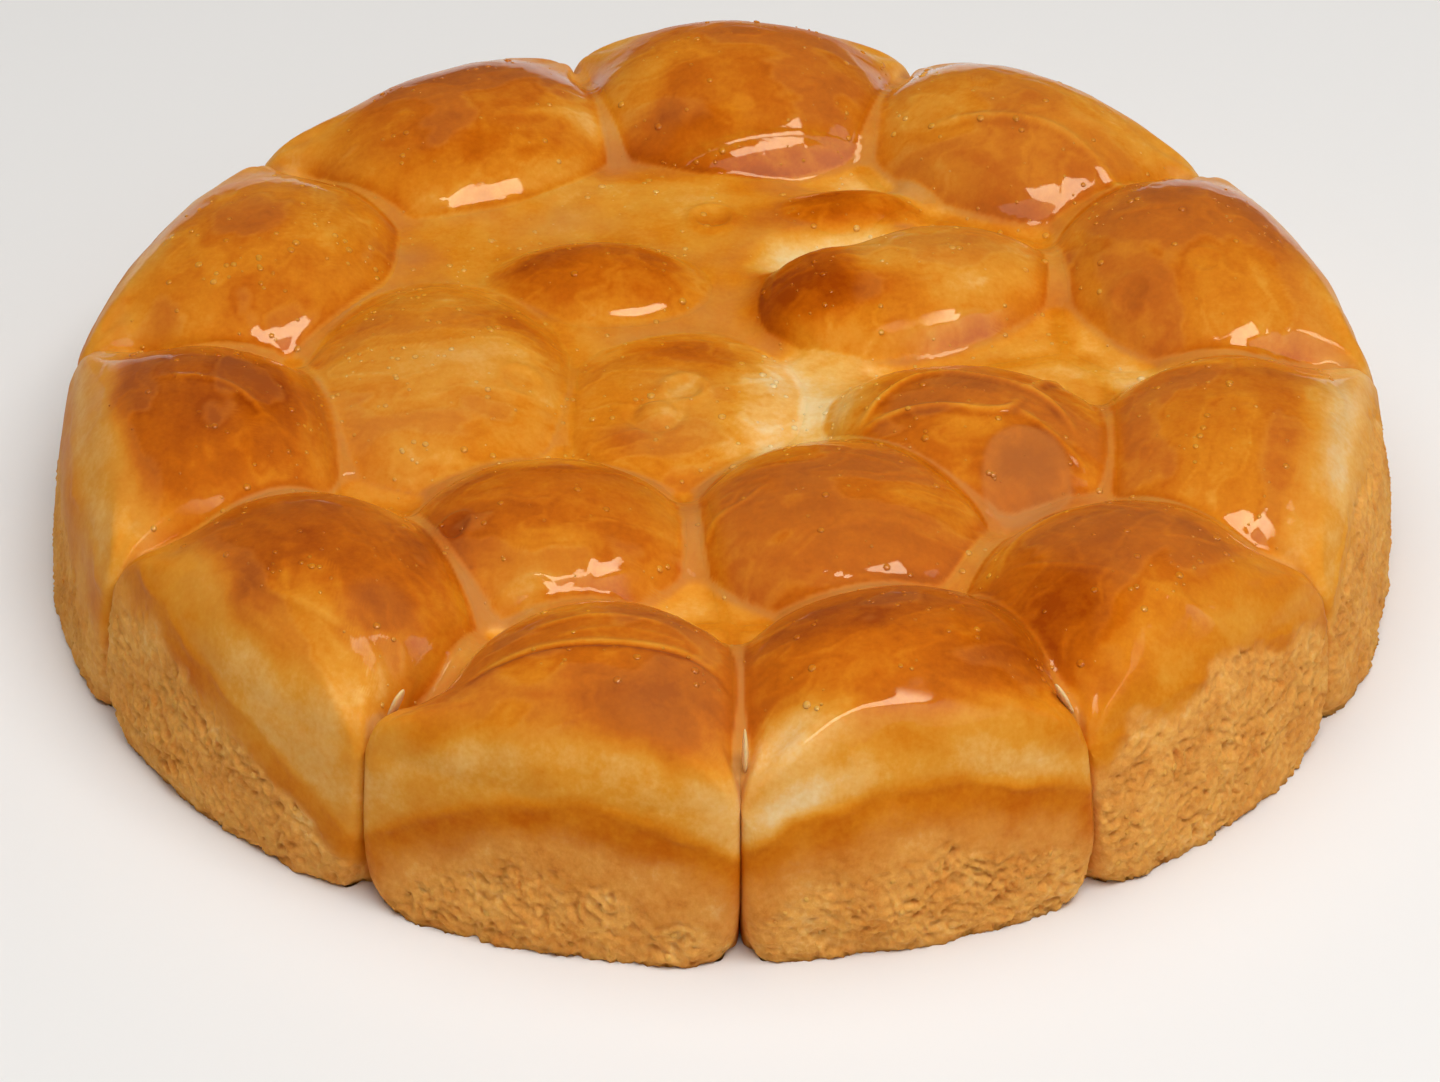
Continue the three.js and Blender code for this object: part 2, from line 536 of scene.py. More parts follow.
class TopField:
    """The loaf's top as grids in plan: its height and what the finish needs to know of it."""

    STEP = 0.5
    MARGIN = 8.0  # how far the grid goes past the shoulder
    OUTSIDE = -20.0
    ROLL_REACH = 60.0  # from a roll's middle, within which its dome lies
    FLOOR = (33.0, 27.0)  # what the domes stand on under the glaze: in the middle, and at the rim
    INNER_FILLET = 4.5  # radius of the glaze in the creases inside the rim
    RIM_FILLET = 2.0  # the same in the seams between rim rolls
    FILLET_CHANGE = (84.0, 104.0)  # from the loaf's axis, where one gives way to the other
    NO_ROLL = 9.0  # what a share of the way out starts as, past any roll
    DEEP = (0.4, 1.6)  # depth of glaze over which its surface comes to stand smooth
    DEEP_EDGE = 2.0  # reach over which deep runs into shallow
    DEEP_SMOOTH = 3.0  # reach over which deep glaze is smoothed
    DEEP_IN = (4.0, 12.0)  # how far inside the shoulder that begins
    DIP = 0.3  # the most that smoothing takes off a dome
    CREASE_BAKE = 0.52
    CREASE_LEVEL = 35.0  # height where a dome starts to brown
    BROWN_FROM = 0.85  # share of the way up a dome from which it is as brown as its crest
    MILKY_FROM = (0.35, 0.85)  # depth of glaze in a crease over which it turns milky
    WEB_IN = (1.0, 5.0)  # how far inside the shoulder the pooled glaze begins
    OUTLINE = 1.9  # reach of the dark line that runs round each dome at its crease: painted shade, and partly thicker glaze
    OUTLINE_GAIN = 2.2  # makes up for what the blur takes off it
    CREASE_SHADE_BAKE = 0.26
    LOW_OUTLINE = 0.3  # how much of it a low dome has
    HIGH_DOME = (42.0, 43.0)  # height of crest from which that line is fully dark
    FILM_LEVELS = (-0.45, 0.0, 0.42)
    POOL_DULL = 0.30  # how much less the pooled glaze shines

    DOUGH = (
        Grain(26.0, strength=0.6),
        Grain(9.0, shift=90.0, strength=0.10),
        Grain(3.6, 3, 60.0, 0.022),
    )
    BLOTCHES = Grain(14.0, 4, 150.0)
    BLOTCH_BAKE = 0.08
    # Streaks are long the way the brush went, which is each dome's first axis.
    STREAKS = (
        Grain((13.0, 1.8, 9.0), shift=410.0, strength=0.6),
        Grain((24.0, 4.0, 9.0), shift=470.0),
    )
    STREAK_FROM = (0.02, 0.14)  # shares of the way in from a dome's edge over which they begin
    STREAK_IN = (1.0, 7.0)  # how far inside the shoulder they begin
    STREAK_HEIGHT = 0.035
    STREAK_BAKE = 0.045
    FILM = Grain(19.0, 4, 310.0)
    FILM_STRETCH = (0.55, 1.0, 1.0)
    FILM_EDGE = 0.05  # how much of the film's unevenness its edge takes
    FILM_RIM = (0.06, 0.04)  # where the raised rim of that edge is, and how wide
    FILM_SHADOW = (-0.03, 0.03)  # the same of the painted shadow at the foot under it
    FILM_HEIGHTS = (0.05, 0.09)  # of the film and of its rim
    FILM_BAKES = (0.09, 0.13, 0.09)  # of the film, its rim and its foot; the rim is painted paler as a highlight, the foot browner as shade
    LIP = (1.1, 0.5, 0.26)  # the edge of a pool: its blur, where it is in that, and how wide
    LIP_HEIGHT = 0.08
    LIP_HIGHLIGHT = 0.05
    SHEEN_AND_FILM_MILK = (0.06, 0.14)  # how milky every dome is painted, a painted sheen, and how much milkier the glaze is under the film
    POOL_BLOTCHES = Grain(16.0, 3, 560.0, 0.10)
    POOL_MILK = 0.52
    MILKINESS = Grain(18.0, 3, 620.0, 0.36)

    def __init__(
        self, rolls: Sequence[Roll], tin: Tin, noise: GradientNoise, topping: Topping
    ) -> None:
        """Lay out the grid, raise the domes on it, fill their creases and mark the glaze.

        Args:
            rolls: The loaf's rolls.
            tin: What the tin pressed.
            noise: What makes the top uneven.
            topping: What the top has beyond its domes.
        """
        self.tin, self.noise = tin, noise
        self.half = math.ceil(tin.shoulder) + self.MARGIN
        self.count = int(2 * self.half / self.STEP) + 1
        line = np.linspace(-self.half, self.half, self.count)
        x, y = np.meshgrid(line, line, indexing="ij")
        self.plan = np.stack([x.ravel(), y.ravel()], axis=1)
        self.radius = np.hypot(x, y)
        self.space = np.column_stack([self.plan, np.zeros(len(self.plan))])
        self.raise_domes(rolls)
        self.fill_creases(topping.pools)
        self.bake_top(rolls)
        self.brush_glaze()
        self.add_marks(topping)

    def near(self, place: Place | np.ndarray, reach: float) -> np.ndarray:
        """Which of the grid's points are within reach of a place."""
        return np.flatnonzero(np.hypot(*(self.plan - np.array(place)).T) < reach)

    def raise_domes(self, rolls: Sequence[Roll]) -> None:
        """Put each roll's dome on the grid, and note whose dome and whose cell each point is in."""
        out = smooth_step(self.radius.ravel(), *self.FILLET_CHANGE)
        floor = self.FLOOR[0] + (self.FLOOR[1] - self.FLOOR[0]) * out
        bare = np.where(self.radius.ravel() < self.tin.shoulder, floor, self.OUTSIDE)
        owner = np.zeros(len(bare), int)
        edge = np.full(len(bare), self.NO_ROLL)
        self.strokes = np.zeros((len(bare), 3))
        for index, roll in enumerate(rolls):
            near = self.near(roll.middle, self.ROLL_REACH)
            height = roll.dome_height(self.plan[near])
            taken = height > bare[near]
            bare[near[taken]] = height[taken]
            owner[near[taken]] = index
            self.strokes[near[taken]] = roll.stroke_axes(self.plan[near[taken]])
            edge[near] = np.minimum(edge[near], roll.limits(self.plan[near])[0])
        self.bare, self.owner, self.edge = (
            grid.reshape(self.radius.shape) for grid in (bare, owner, edge)
        )

    def fill_creases(self, pools: Sequence[Pool]) -> None:
        """Fill what a ball can't get into, then the hollows where glaze stands."""
        inner = self.close(self.bare, self.INNER_FILLET)
        rim = self.close(self.bare, self.RIM_FILLET)
        mix = smooth_step(self.radius, *self.FILLET_CHANGE)
        filled = inner * (1.0 - mix) + rim * mix
        for pool in pools:
            filled = pool.heights(self.plan, filled)
        # The glaze stands smooth where it is deep.
        deep = self.soften(smooth_step(filled - self.bare, *self.DEEP), self.DEEP_EDGE)
        deep *= smooth_step(self.tin.shoulder - self.radius, *self.DEEP_IN)
        filled += (self.soften(filled, self.DEEP_SMOOTH) - filled) * deep
        self.filled = np.maximum(filled, self.bare - self.DIP)
        self.fill = np.maximum(self.filled - self.bare, 0.0)

    def close(self, heights: np.ndarray, radius: float) -> np.ndarray:
        """Heights on the grid, with the creases filled that a ball of a radius can't get into.

        Args:
            heights: Heights on the grid.
            radius: The ball's.

        Returns:
            The filled heights.
        """
        reach = int(radius / self.STEP)
        offsets = [
            (i, j, math.sqrt(radius**2 - (i * i + j * j) * self.STEP**2))
            for i, j in itertools.product(range(-reach, reach + 1), repeat=2)
            if (i * i + j * j) * self.STEP**2 < radius**2
        ]
        for sign in (1.0, -1.0):
            padded = np.pad(heights * sign, reach, constant_values=-np.inf)
            grown = np.full_like(heights, -np.inf)
            for i, j, ball in offsets:
                rows = slice(reach + i, reach + i + self.count)
                columns = slice(reach + j, reach + j + self.count)
                np.maximum(grown, padded[rows, columns] + ball, out=grown)
            heights = grown * sign
        return heights

    def bake_top(self, rolls: Sequence[Roll]) -> None:
        """Brown each dome towards its crest, and paint shade round it at its crease."""
        crest = np.array([roll.crest for roll in rolls])[self.owner]
        brown = np.array([roll.look.bake for roll in rolls])[self.owner]
        low = self.CREASE_LEVEL
        rise = np.clip((self.filled - low) / np.maximum(crest - low, 1.0), 0.0, 1.0)
        share = smooth_step(rise, 0.0, self.BROWN_FROM)
        self.webbed = smooth_step(self.fill, *self.MILKY_FROM)
        self.webbed *= smooth_step(self.tin.shoulder - self.radius, *self.WEB_IN)
        # A dark line round each dome where it meets the pooled glaze: painted shade of the crease, partly
        # thicker glaze.
        outline = np.clip(self.soften(self.webbed, self.OUTLINE) * self.OUTLINE_GAIN, 0.0, 1.0)
        outline *= 1.0 - self.webbed
        outline *= self.LOW_OUTLINE + (1.0 - self.LOW_OUTLINE) * smooth_step(crest, *self.HIGH_DOME)
        self.bake = self.CREASE_BAKE + (brown - self.CREASE_BAKE) * share + self.CREASE_SHADE_BAKE * outline

    def soften(self, grid: np.ndarray, reach: float) -> np.ndarray:
        """A grid blurred over a reach.

        Args:
            grid: Any grid of values.
            reach: How far the blur reaches.

        Returns:
            The blurred grid.
        """
        steps = int(2.0 * reach / self.STEP)
        weights = bell(np.arange(-steps, steps + 1) * self.STEP, 0.0, reach)
        for axis in (0, 1):
            parts = (w * np.roll(grid, k - steps, axis) for k, w in enumerate(weights))
            grid = sum(parts) / weights.sum()
        return grid

    def brush_glaze(self) -> None:
        """Add the unevenness of the dough, the brush's streaks and the films of the glaze."""
        noise, webbed = self.noise, self.webbed.ravel()
        relief = sum(noise.at(self.space, grain) for grain in self.DOUGH)
        self.warp = noise.at(self.space, self.BLOTCHES)
        bake = self.bake.ravel() + self.warp * self.BLOTCH_BAKE
        # The brush left streaks along each dome, up to its crease and the loaf's shoulder.
        inside = (1.0 - webbed) * smooth_step(1.0 - self.edge.ravel(), *self.STREAK_FROM)
        inside *= smooth_step(self.tin.shoulder - self.radius.ravel(), *self.STREAK_IN)
        streak = sum(noise.at(self.strokes, grain) for grain in self.STREAKS)
        relief += streak * inside * self.STREAK_HEIGHT
        bake += streak * inside * self.STREAK_BAKE
        # The glaze was put on in thin films, whose edges dried as faint steps, with a painted highlight on
        # each step's rim and painted shade at its foot.
        film = noise.at(self.strokes * self.FILM_STRETCH, self.FILM)
        step_bake, rim_highlight, foot_shade = self.FILM_BAKES
        for level in self.FILM_LEVELS:
            step = smooth_step(film, level, level + self.FILM_EDGE)
            rim, foot = bell(film - level, *self.FILM_RIM), bell(film - level, *self.FILM_SHADOW)
            relief += (self.FILM_HEIGHTS[0] * step + self.FILM_HEIGHTS[1] * rim) * inside
            bake += (step_bake * step - rim_highlight * rim + foot_shade * foot - step_bake / 2) * inside
        # Where the pooled glaze ends, its edge stands up a little and is painted paler, a painted highlight.
        blur, middle, width = self.LIP
        lip = bell(self.soften(self.webbed, blur).ravel(), middle, width)
        relief += self.LIP_HEIGHT * lip
        bake += webbed * noise.at(self.space, self.POOL_BLOTCHES) - self.LIP_HIGHLIGHT * lip
        milk = webbed * np.clip(self.POOL_MILK + noise.at(self.space, self.MILKINESS), 0.0, 1.0)
        # Every dome gets a little milk as a painted sheen, and the film more.
        bare, more = self.SHEEN_AND_FILM_MILK
        milk = np.maximum(milk, (bare + more * smooth_step(film, 0.0, self.FILM_EDGE)) * inside)
        self.relief, self.bake, self.milk = relief, bake, milk
        self.wet = -self.POOL_DULL * webbed
        self.tint = np.zeros(len(webbed))

    def add_marks(self, topping: Topping) -> None:
        """Add the patches, lines and rings."""
        for patch in topping.patches:
            near = self.near(patch.place, patch.REACH * max(patch.size))
            share = patch.share(self.plan[near], self.warp[near])
            self.tint[near] += patch.bake * share
            self.milk[near] += patch.milk * share
            self.wet[near] += patch.wet * share
            self.relief[near] += patch.lift * share
        for item in (*topping.lines, *topping.rings):
            near = item.near(self.plan)
            lift, mark = item.lift(self.plan[near])
            self.relief[near] += lift
            self.tint[near] += item.bake * mark
        self.milk = np.clip(self.milk, 0.0, 1.0)
        self.relief, self.bake, self.tint, self.milk, self.wet = (
            grid.reshape(self.radius.shape)
            for grid in (self.relief, self.bake, self.tint, self.milk, self.wet)
        )

    def sample(self, grid: np.ndarray, plan: np.ndarray) -> np.ndarray:
        """A grid's values at points in plan, straight between its nodes.

        Args:
            grid: The grid of values.
            plan: Points in plan.

        Returns:
            One value for each point.
        """
        place = np.clip((plan + self.half) / self.STEP, 0.0, self.count - 1.001)
        low = place.astype(int)
        u, v = (place - low).T
        i, j = low.T
        near = grid[i, j] * (1 - u) * (1 - v) + grid[i + 1, j] * u * (1 - v)
        return near + grid[i, j + 1] * (1 - u) * v + grid[i + 1, j + 1] * u * v


# ---------------------------------------------------------------- meshes


def disc_map(across: int) -> tuple[np.ndarray, np.ndarray]:
    """Lay a square grid over a disc, so that no pole shows on a dome.

    Args:
        across: Squares along each side.

    Returns:
        Each grid point's angle and its share of the radius.
    """
    line = np.linspace(-1.0, 1.0, across + 1)
    a, b = (v.ravel() for v in np.meshgrid(line, line, indexing="ij"))
    wide = np.abs(a) >= np.abs(b)
    safe_a = np.where(a == 0.0, 1.0, a)
    safe_b = np.where(b == 0.0, 1.0, b)
    angle = np.where(wide, math.pi / 4 * b / safe_a, math.pi / 2 - math.pi / 4 * a / safe_b)
    radius = np.where(wide, a, b)
    return np.where(radius < 0.0, angle + math.pi, angle), np.abs(radius)


@dataclass
class Skin:
    """A piece's mesh as it is made: points, faces and what the finish needs to know of them."""

    points: np.ndarray
    quads: np.ndarray
    fan: np.ndarray  # triangles
    border: np.ndarray  # the ring of points where the dome ends
    outer: np.ndarray  # how far a point is on the outward side, 0 to 1
    values: dict[str, np.ndarray] = field(default_factory=dict)

    @classmethod
    def plain(cls, points: np.ndarray, quads: np.ndarray, fan: np.ndarray | None = None) -> Skin:
        """A skin that has no dome border and no outward side.

        Args:
            points: Its points.
            quads: Its squares.
            fan: Its triangles, if it has any.

        Returns:
            The skin.
        """
        none = np.zeros(0, int)
        return cls(points, quads, none.reshape(0, 3) if fan is None else fan, none, 0.0 * points[:, 0])


class RollSkin:
    """Builds the mesh of one roll."""

    ACROSS = 132  # squares of the grid over its dome
    RIM_ROWS = 52
    INNER_ROWS = 4
    NEIGHBOURS = 75.0  # how near a roll's middle has to be for its dome to matter
    OUTER_ZONE = (0.86, 0.99)  # shares of the dome's reach over which its outward side begins
    UNDER = 0.9  # reach of the ring of points on the base, as a share of the outline

    def __init__(self, roll: Roll, rolls: Sequence[Roll], top: TopField) -> None:
        """Keep what the mesh is made from."""
        self.roll = roll
        self.close_by = [r for r in rolls if np.hypot(*(r.middle - roll.middle)) < self.NEIGHBOURS]
        self.top = top

    def build(self) -> Skin:
        """Make the roll's skin: its dome with the creases filled, its sides and its base.

        Returns:
            The skin, without its finish values.
        """
        roll, top, n = self.roll, self.top, self.ACROSS
        angle, radius = disc_map(n)
        way = np.stack([np.cos(angle), np.sin(angle)], axis=1)
        reach = 1.0 / roll.outline(roll.middle + way)
        width = np.sin(radius * math.pi / 2)
        plan = roll.middle + way * (reach * width)[:, None]
        outer = roll.outwardness(roll.middle + way) * smooth_step(width, *self.OUTER_ZONE)
        bare = np.max([other.dome_height(plan) for other in self.close_by], axis=0)
        bare = np.maximum(bare, roll.waist)
        filled = np.maximum(bare, top.sample(top.filled, plan))
        height = filled + (bare - filled) * outer
        height += top.sample(top.relief, plan) * (1.0 - outer)

        index = np.arange((n + 1) ** 2).reshape(n + 1, n + 1)
        border = np.concatenate([index[:-1, 0], index[-1, :-1], index[:0:-1, -1], index[0, :0:-1]])
        rows = self.RIM_ROWS if roll.on_rim else self.INNER_ROWS
        edge_outer = outer[border]
        side_plan, side_height = [], []
        for row in range(1, rows + 1):
            at = 1.0 - row / rows
            drop = roll.waist * (1.0 - at) / (roll.waist + roll.FOOT_SINK)
            narrow = (1.0 - drop**roll.FOOT_CURVE) ** (1.0 / roll.FOOT_CURVE)
            narrow = 1.0 + (narrow - 1.0) * edge_outer
            foot = max(0.0, 1.0 - at * roll.waist / roll.FOOT_HEIGHT) ** 2
            corner = roll.SEAM_CORNER + (roll.FOOT_CORNER - roll.SEAM_CORNER) * foot
            out = narrow / roll.outline(roll.middle + way[border], corner)
            side_plan.append(roll.middle + way[border] * out[:, None])
            side_height.append(height[border] * at)
        side_plan += [roll.middle + way[border] * (reach[border] * self.UNDER)[:, None]]
        side_plan += [roll.middle[None, :]]
        side_height += [np.zeros(len(border)), np.zeros(1)]
        plan = np.concatenate([plan, *side_plan])
        height = np.concatenate([height, *side_height])

        rim = len(border)
        start = (n + 1) ** 2
        loops = [border] + [start + ring * rim + np.arange(rim) for ring in range(rows + 1)]
        side_quads = [
            np.stack([high, low, np.roll(low, -1), np.roll(high, -1)], axis=1)
            for high, low in zip(loops, loops[1:])
        ]
        last, centre = loops[-1], np.full(rim, len(plan) - 1)
        return Skin(
            points=np.column_stack([plan * roll.tin.spread(height)[:, None], height]),
            quads=np.concatenate([grid_quads(index).reshape(-1, 4), *side_quads]),
            fan=np.stack([last, centre, np.roll(last, -1)], axis=1),
            border=border,
            outer=np.concatenate([outer] + [edge_outer] * (rows + 1) + [np.zeros(1)]),
        )


class PressedSide:
    """Works the tin's marks into the outward side of a rim roll's skin.

    A level is a height that is moved so that the glaze's lower edge is at the same level all
    along the side.
    """

    GLAZE_EDGE = 31.0
    LOWEST_EDGE = 12.0
    HALF_ROLL = 30.0  # from a rim roll's middle to its seams, round the wall
    SIDE_ZONE = (104.0, 116.0)  # from the loaf's axis, over which the side begins
    ARCH_ZONE = (-1.5, 3.0)  # how far under its arch the rough wall comes in
    SLOPE = (30.0, 33.5, 35.5, 39.5)  # levels of the band, the pale edge and the gold
    SLOPE_ZONE = (107.0, 115.0)  # from the loaf's axis, over which the slope's browning begins
    STEEP_ZONE = (114.0, 119.0)  # from the loaf's axis, over which the glaze gets thin

    ARCH = Grain(13.0, 4, 400.0, 4.0)
    SWIRL = tuple(Grain(5.0, shift=shift, strength=1.6) for shift in (31.0, 53.0, 77.0))
    COARSE_CREASES = Grain((2.9, 2.9, 2.1), strength=3.0)
    FINE_CREASES = Grain((1.6, 1.6, 1.2), shift=90.0, strength=1.8)
    PITS = Grain(1.7, shift=700.0)
    PATCHES = Grain(11.0, shift=900.0)
    SAG = (Grain(24.0, shift=20.0, strength=0.9), Grain(9.0, shift=80.0, strength=0.3))
    JAG = Grain(13.0, 4, 230.0)
    FOOT_RAGS = Grain(8.0, 3, 12.0)

    CREASE_DEPTH = 0.46
    FINE_SHARE = 0.6  # of the fine creases, against the coarse ones
    PATCHY = 0.50  # how much of the creases' depth is left where they are shallowest
    PIT_ZONE = (0.3, 0.7)  # how much of the noise is a pit
    PIT_DEPTH = 0.60
    SET_BACK = 0.30  # how far the rough wall lies behind the smooth crust
    BULGE = 2.0
    BULGE_TOP = 32.0
    LIP = (0.8, 0.45)  # the glaze's raised edge: its width and height
    LIP_EVEN = 0.4  # how even that edge is
    RAGGED_UNDER = 5.0  # height under which the foot is ragged
    RAG_DEPTH = 0.9
    JAG_HEIGHT = 1.6
    JAG_BAKE = 0.10
    TINT_SHARE = 0.6  # how much the top's patches show on the slope
    DRY_ZONE = (-28.0, -18.0)  # levels, counted down, over which the band gets dull
    DRY = 0.75
    MILK_ZONE = (31.0, 36.0)  # levels over which the glaze turns milky
    # Painted shade: darker along the foot, where the loaf meets the floor, and in the hollows of the wall's
    # folds.
    FOOT_SHADE = 0.5
    FOLD_SHADE = 0.28
    RAN_ZONE = (29.0, 35.0)  # levels over which the glaze begins
    LEFT_WET = 0.06  # how wet the crust is under that
    STEEP_WET = 0.15  # how much glaze stayed where the side is steep

    def __init__(self, roll: Roll, skin: Skin, top: TopField) -> None:
        """Work out where on the side each point is.

        Args:
            roll: The rim roll.
            skin: Its skin, with the finish values of the top.
            top: The loaf's top.
        """
        self.look, self.skin, self.top, self.noise = roll.look, skin, top, top.noise
        points = skin.points
        self.height = height = points[:, 2]
        self.radius = np.hypot(points[:, 0], points[:, 1])
        self.side = smooth_step(self.radius, *self.SIDE_ZONE)
        self.side *= np.where(height > roll.waist, 1.0, skin.outer)
        azimuth = np.arctan2(points[:, 0], -points[:, 1])
        middle = math.atan2(roll.middle[0], -roll.middle[1])
        across = ((azimuth - middle + math.pi) % (2 * math.pi) - math.pi) * roll.tin.shoulder
        share = across / self.HALF_ROLL
        arch = across_roll(self.look.arch, share) + self.noise.at(points, self.ARCH)
        self.wall = self.side * smooth_step(arch - height, *self.ARCH_ZONE)
        self.jag = self.noise.at(points, self.JAG)
        edge = np.maximum(across_roll(self.look.edge, share), self.LOWEST_EDGE)
        self.level = height + self.jag * self.JAG_HEIGHT + self.GLAZE_EDGE - edge
        swirl = points + np.column_stack([self.noise.at(points, grain) for grain in self.SWIRL])
        self.creases = 1.0 - np.abs(self.noise.at(swirl, self.COARSE_CREASES))
        self.creases += self.FINE_SHARE - np.abs(self.noise.at(swirl, self.FINE_CREASES))
        patches = smooth_step(self.noise.at(points, self.PATCHES), -0.4, 0.4)
        self.patchy = self.PATCHY + (1.0 - self.PATCHY) * patches

    def press(self) -> None:
        """Move the side's points and change its finish."""
        relief = self.relief()
        self.bake()
        points = self.skin.points
        out = points[:, :2] / np.maximum(self.radius, 1.0)[:, None]
        out = np.column_stack([out, 0 * self.height])
        self.skin.points = points + out * (self.side * relief)[:, None]

    def relief(self) -> np.ndarray:
        """How far outward each point of the side moves.

        Returns:
            One distance for each point.
        """
        points, wall, at = self.skin.points, self.wall, self.noise.at
        pits = smooth_step(at(points, self.PITS), *self.PIT_ZONE)
        rough = self.creases * self.CREASE_DEPTH * self.patchy - pits * self.PIT_DEPTH - self.SET_BACK
        bulge = self.BULGE * np.sin(np.clip(self.height / self.BULGE_TOP, 0.0, 1.0) * math.pi)
        sag = sum(at(points, grain) for grain in self.SAG)
        # The glaze ran down and set with a raised edge.
        width, height = self.LIP
        lip = bell(self.level, self.GLAZE_EDGE, width) * (1.0 - wall)
        lip *= self.LIP_EVEN + (1.0 - self.LIP_EVEN) * self.jag
        ragged = smooth_step(self.RAGGED_UNDER - self.height, 0.0, 4.0) * at(points, self.FOOT_RAGS)
        return wall * rough + bulge + sag + ragged * self.RAG_DEPTH + lip * height

    def bake(self) -> None:
        """Bake the slope, the band under it and the rough wall, and take the glaze off them."""
        values, side, level, jag = self.skin.values, self.side, self.level, self.jag
        tint = self.top.sample(self.top.tint, self.skin.points[:, :2])
        look = self.look
        slope = np.interp(level, self.SLOPE, (look.band, look.rim, look.rim, look.gold))
        slope += jag * self.JAG_BAKE + self.TINT_SHARE * tint * smooth_step(level, 30.0, 33.0)
        share = smooth_step(self.radius, *self.SLOPE_ZONE) * smooth_step(-level, -46.0, -40.0)
        share = np.maximum(share, side * smooth_step(-self.height, -30.0, -27.0))
        values["bake"] += (slope - values["bake"]) * share
        # The band over the rough wall dried duller the lower it is.
        dry = side * smooth_step(-level - jag * 2.0, *self.DRY_ZONE)
        values["wall"] = np.maximum(self.wall, self.DRY * dry)
        values["milk"] *= smooth_step(level, *self.MILK_ZONE)
        # Painted shade in the hollows of the folds and along the foot.
        folds = self.wall * self.patchy * smooth_step(-self.creases, 0.0, 1.6)
        foot = smooth_step(1.6 - self.height + jag, 0.0, 2.4)
        values["scorch"] = self.FOOT_SHADE * foot * side + self.FOLD_SHADE * folds
        # Little glaze stayed on the steep side.
        steep = 1.0 - (1.0 - self.STEEP_WET) * smooth_step(self.radius, *self.STEEP_ZONE)
        ran = self.LEFT_WET + (1.0 - self.LEFT_WET) * smooth_step(level, *self.RAN_ZONE)
        values["wet"] *= (1.0 - values["wall"]) * ran * steep


class GlazeWeb:
    """The set glaze along the creases: a thin sheet whose edges dip under the crust."""

    PROUD = 0.05  # how far its middle stands over the filled crease
    SUNK = 0.35  # how far its edge is under the crust
    THICK = 0.8
    REACH = 112.0  # how far out it runs from the loaf's axis
    EDGE_ZONE = 4.0  # how far inside that it begins to end
    SEAM_ZONE = (0.93, 0.97)  # shares of the way to a seam over which it begins
    SEAM_END = (-1.2, -1.1)  # and past which there is no seam, counted back
    POOL_ZONE = (0.5, 1.5)  # depths of glaze over which it covers a pool

    def __init__(self, top: TopField) -> None:
        """Keep the field that the sheet follows."""
        self.top = top

    def build(self) -> Skin:
        """Make the sheet from the grid's squares that lie along a crease.

        Returns:
            The skin, without its finish values.
        """
        top = self.top
        along_seam = smooth_step(top.edge, *self.SEAM_ZONE) * smooth_step(-top.edge, *self.SEAM_END)
        pooled = smooth_step(top.fill, *self.POOL_ZONE)
        near = smooth_step(self.REACH - top.radius, 0.0, self.EDGE_ZONE)
        cover = np.maximum(along_seam, pooled) * near
        used = grid_quads(cover).max(axis=-1) > 0.02
        quads = grid_quads(np.arange(top.count**2).reshape(top.count, top.count))[used]
        rim = self.rim_edges(quads)
        kept, sheet = np.unique(quads, return_inverse=True)
        sheet = sheet.reshape(-1, 4)
        height = (top.filled + top.relief).ravel()[kept]
        height += -self.SUNK + (self.PROUD + self.SUNK) * cover.ravel()[kept]
        upper = np.column_stack([top.plan[kept], height])
        count = len(kept)
        place = np.full(top.count**2, -1)
        place[kept] = np.arange(count)
        start, end = place[rim].T
        walls = np.stack([end, start, start + count, end + count], axis=1)
        return Skin.plain(
            np.concatenate([upper, upper - np.array([0.0, 0.0, self.THICK])]),
            np.concatenate([sheet, sheet[:, ::-1] + count, walls]),
        )

    @staticmethod
    def rim_edges(quads: np.ndarray) -> np.ndarray:
        """The directed edges that only one of the squares has.

        Args:
            quads: The squares.

        Returns:
            The edges, each as the numbers of its two points.
        """
        edges = np.concatenate([quads[:, [i, (i + 1) % 4]] for i in range(4)])
        key = np.sort(edges, axis=1)
        _, inverse, counts = np.unique(key, axis=0, return_inverse=True, return_counts=True)
        return edges[counts[inverse.ravel()] == 1]


@dataclass(frozen=True)
class Drop:
    """A drop of glaze that ran into a seam and set there, half sunk."""

    place: Triple
    size: Triple  # half its width, half its depth outward, half its height
    lean: float = 0.0  # degrees, to the right at its top


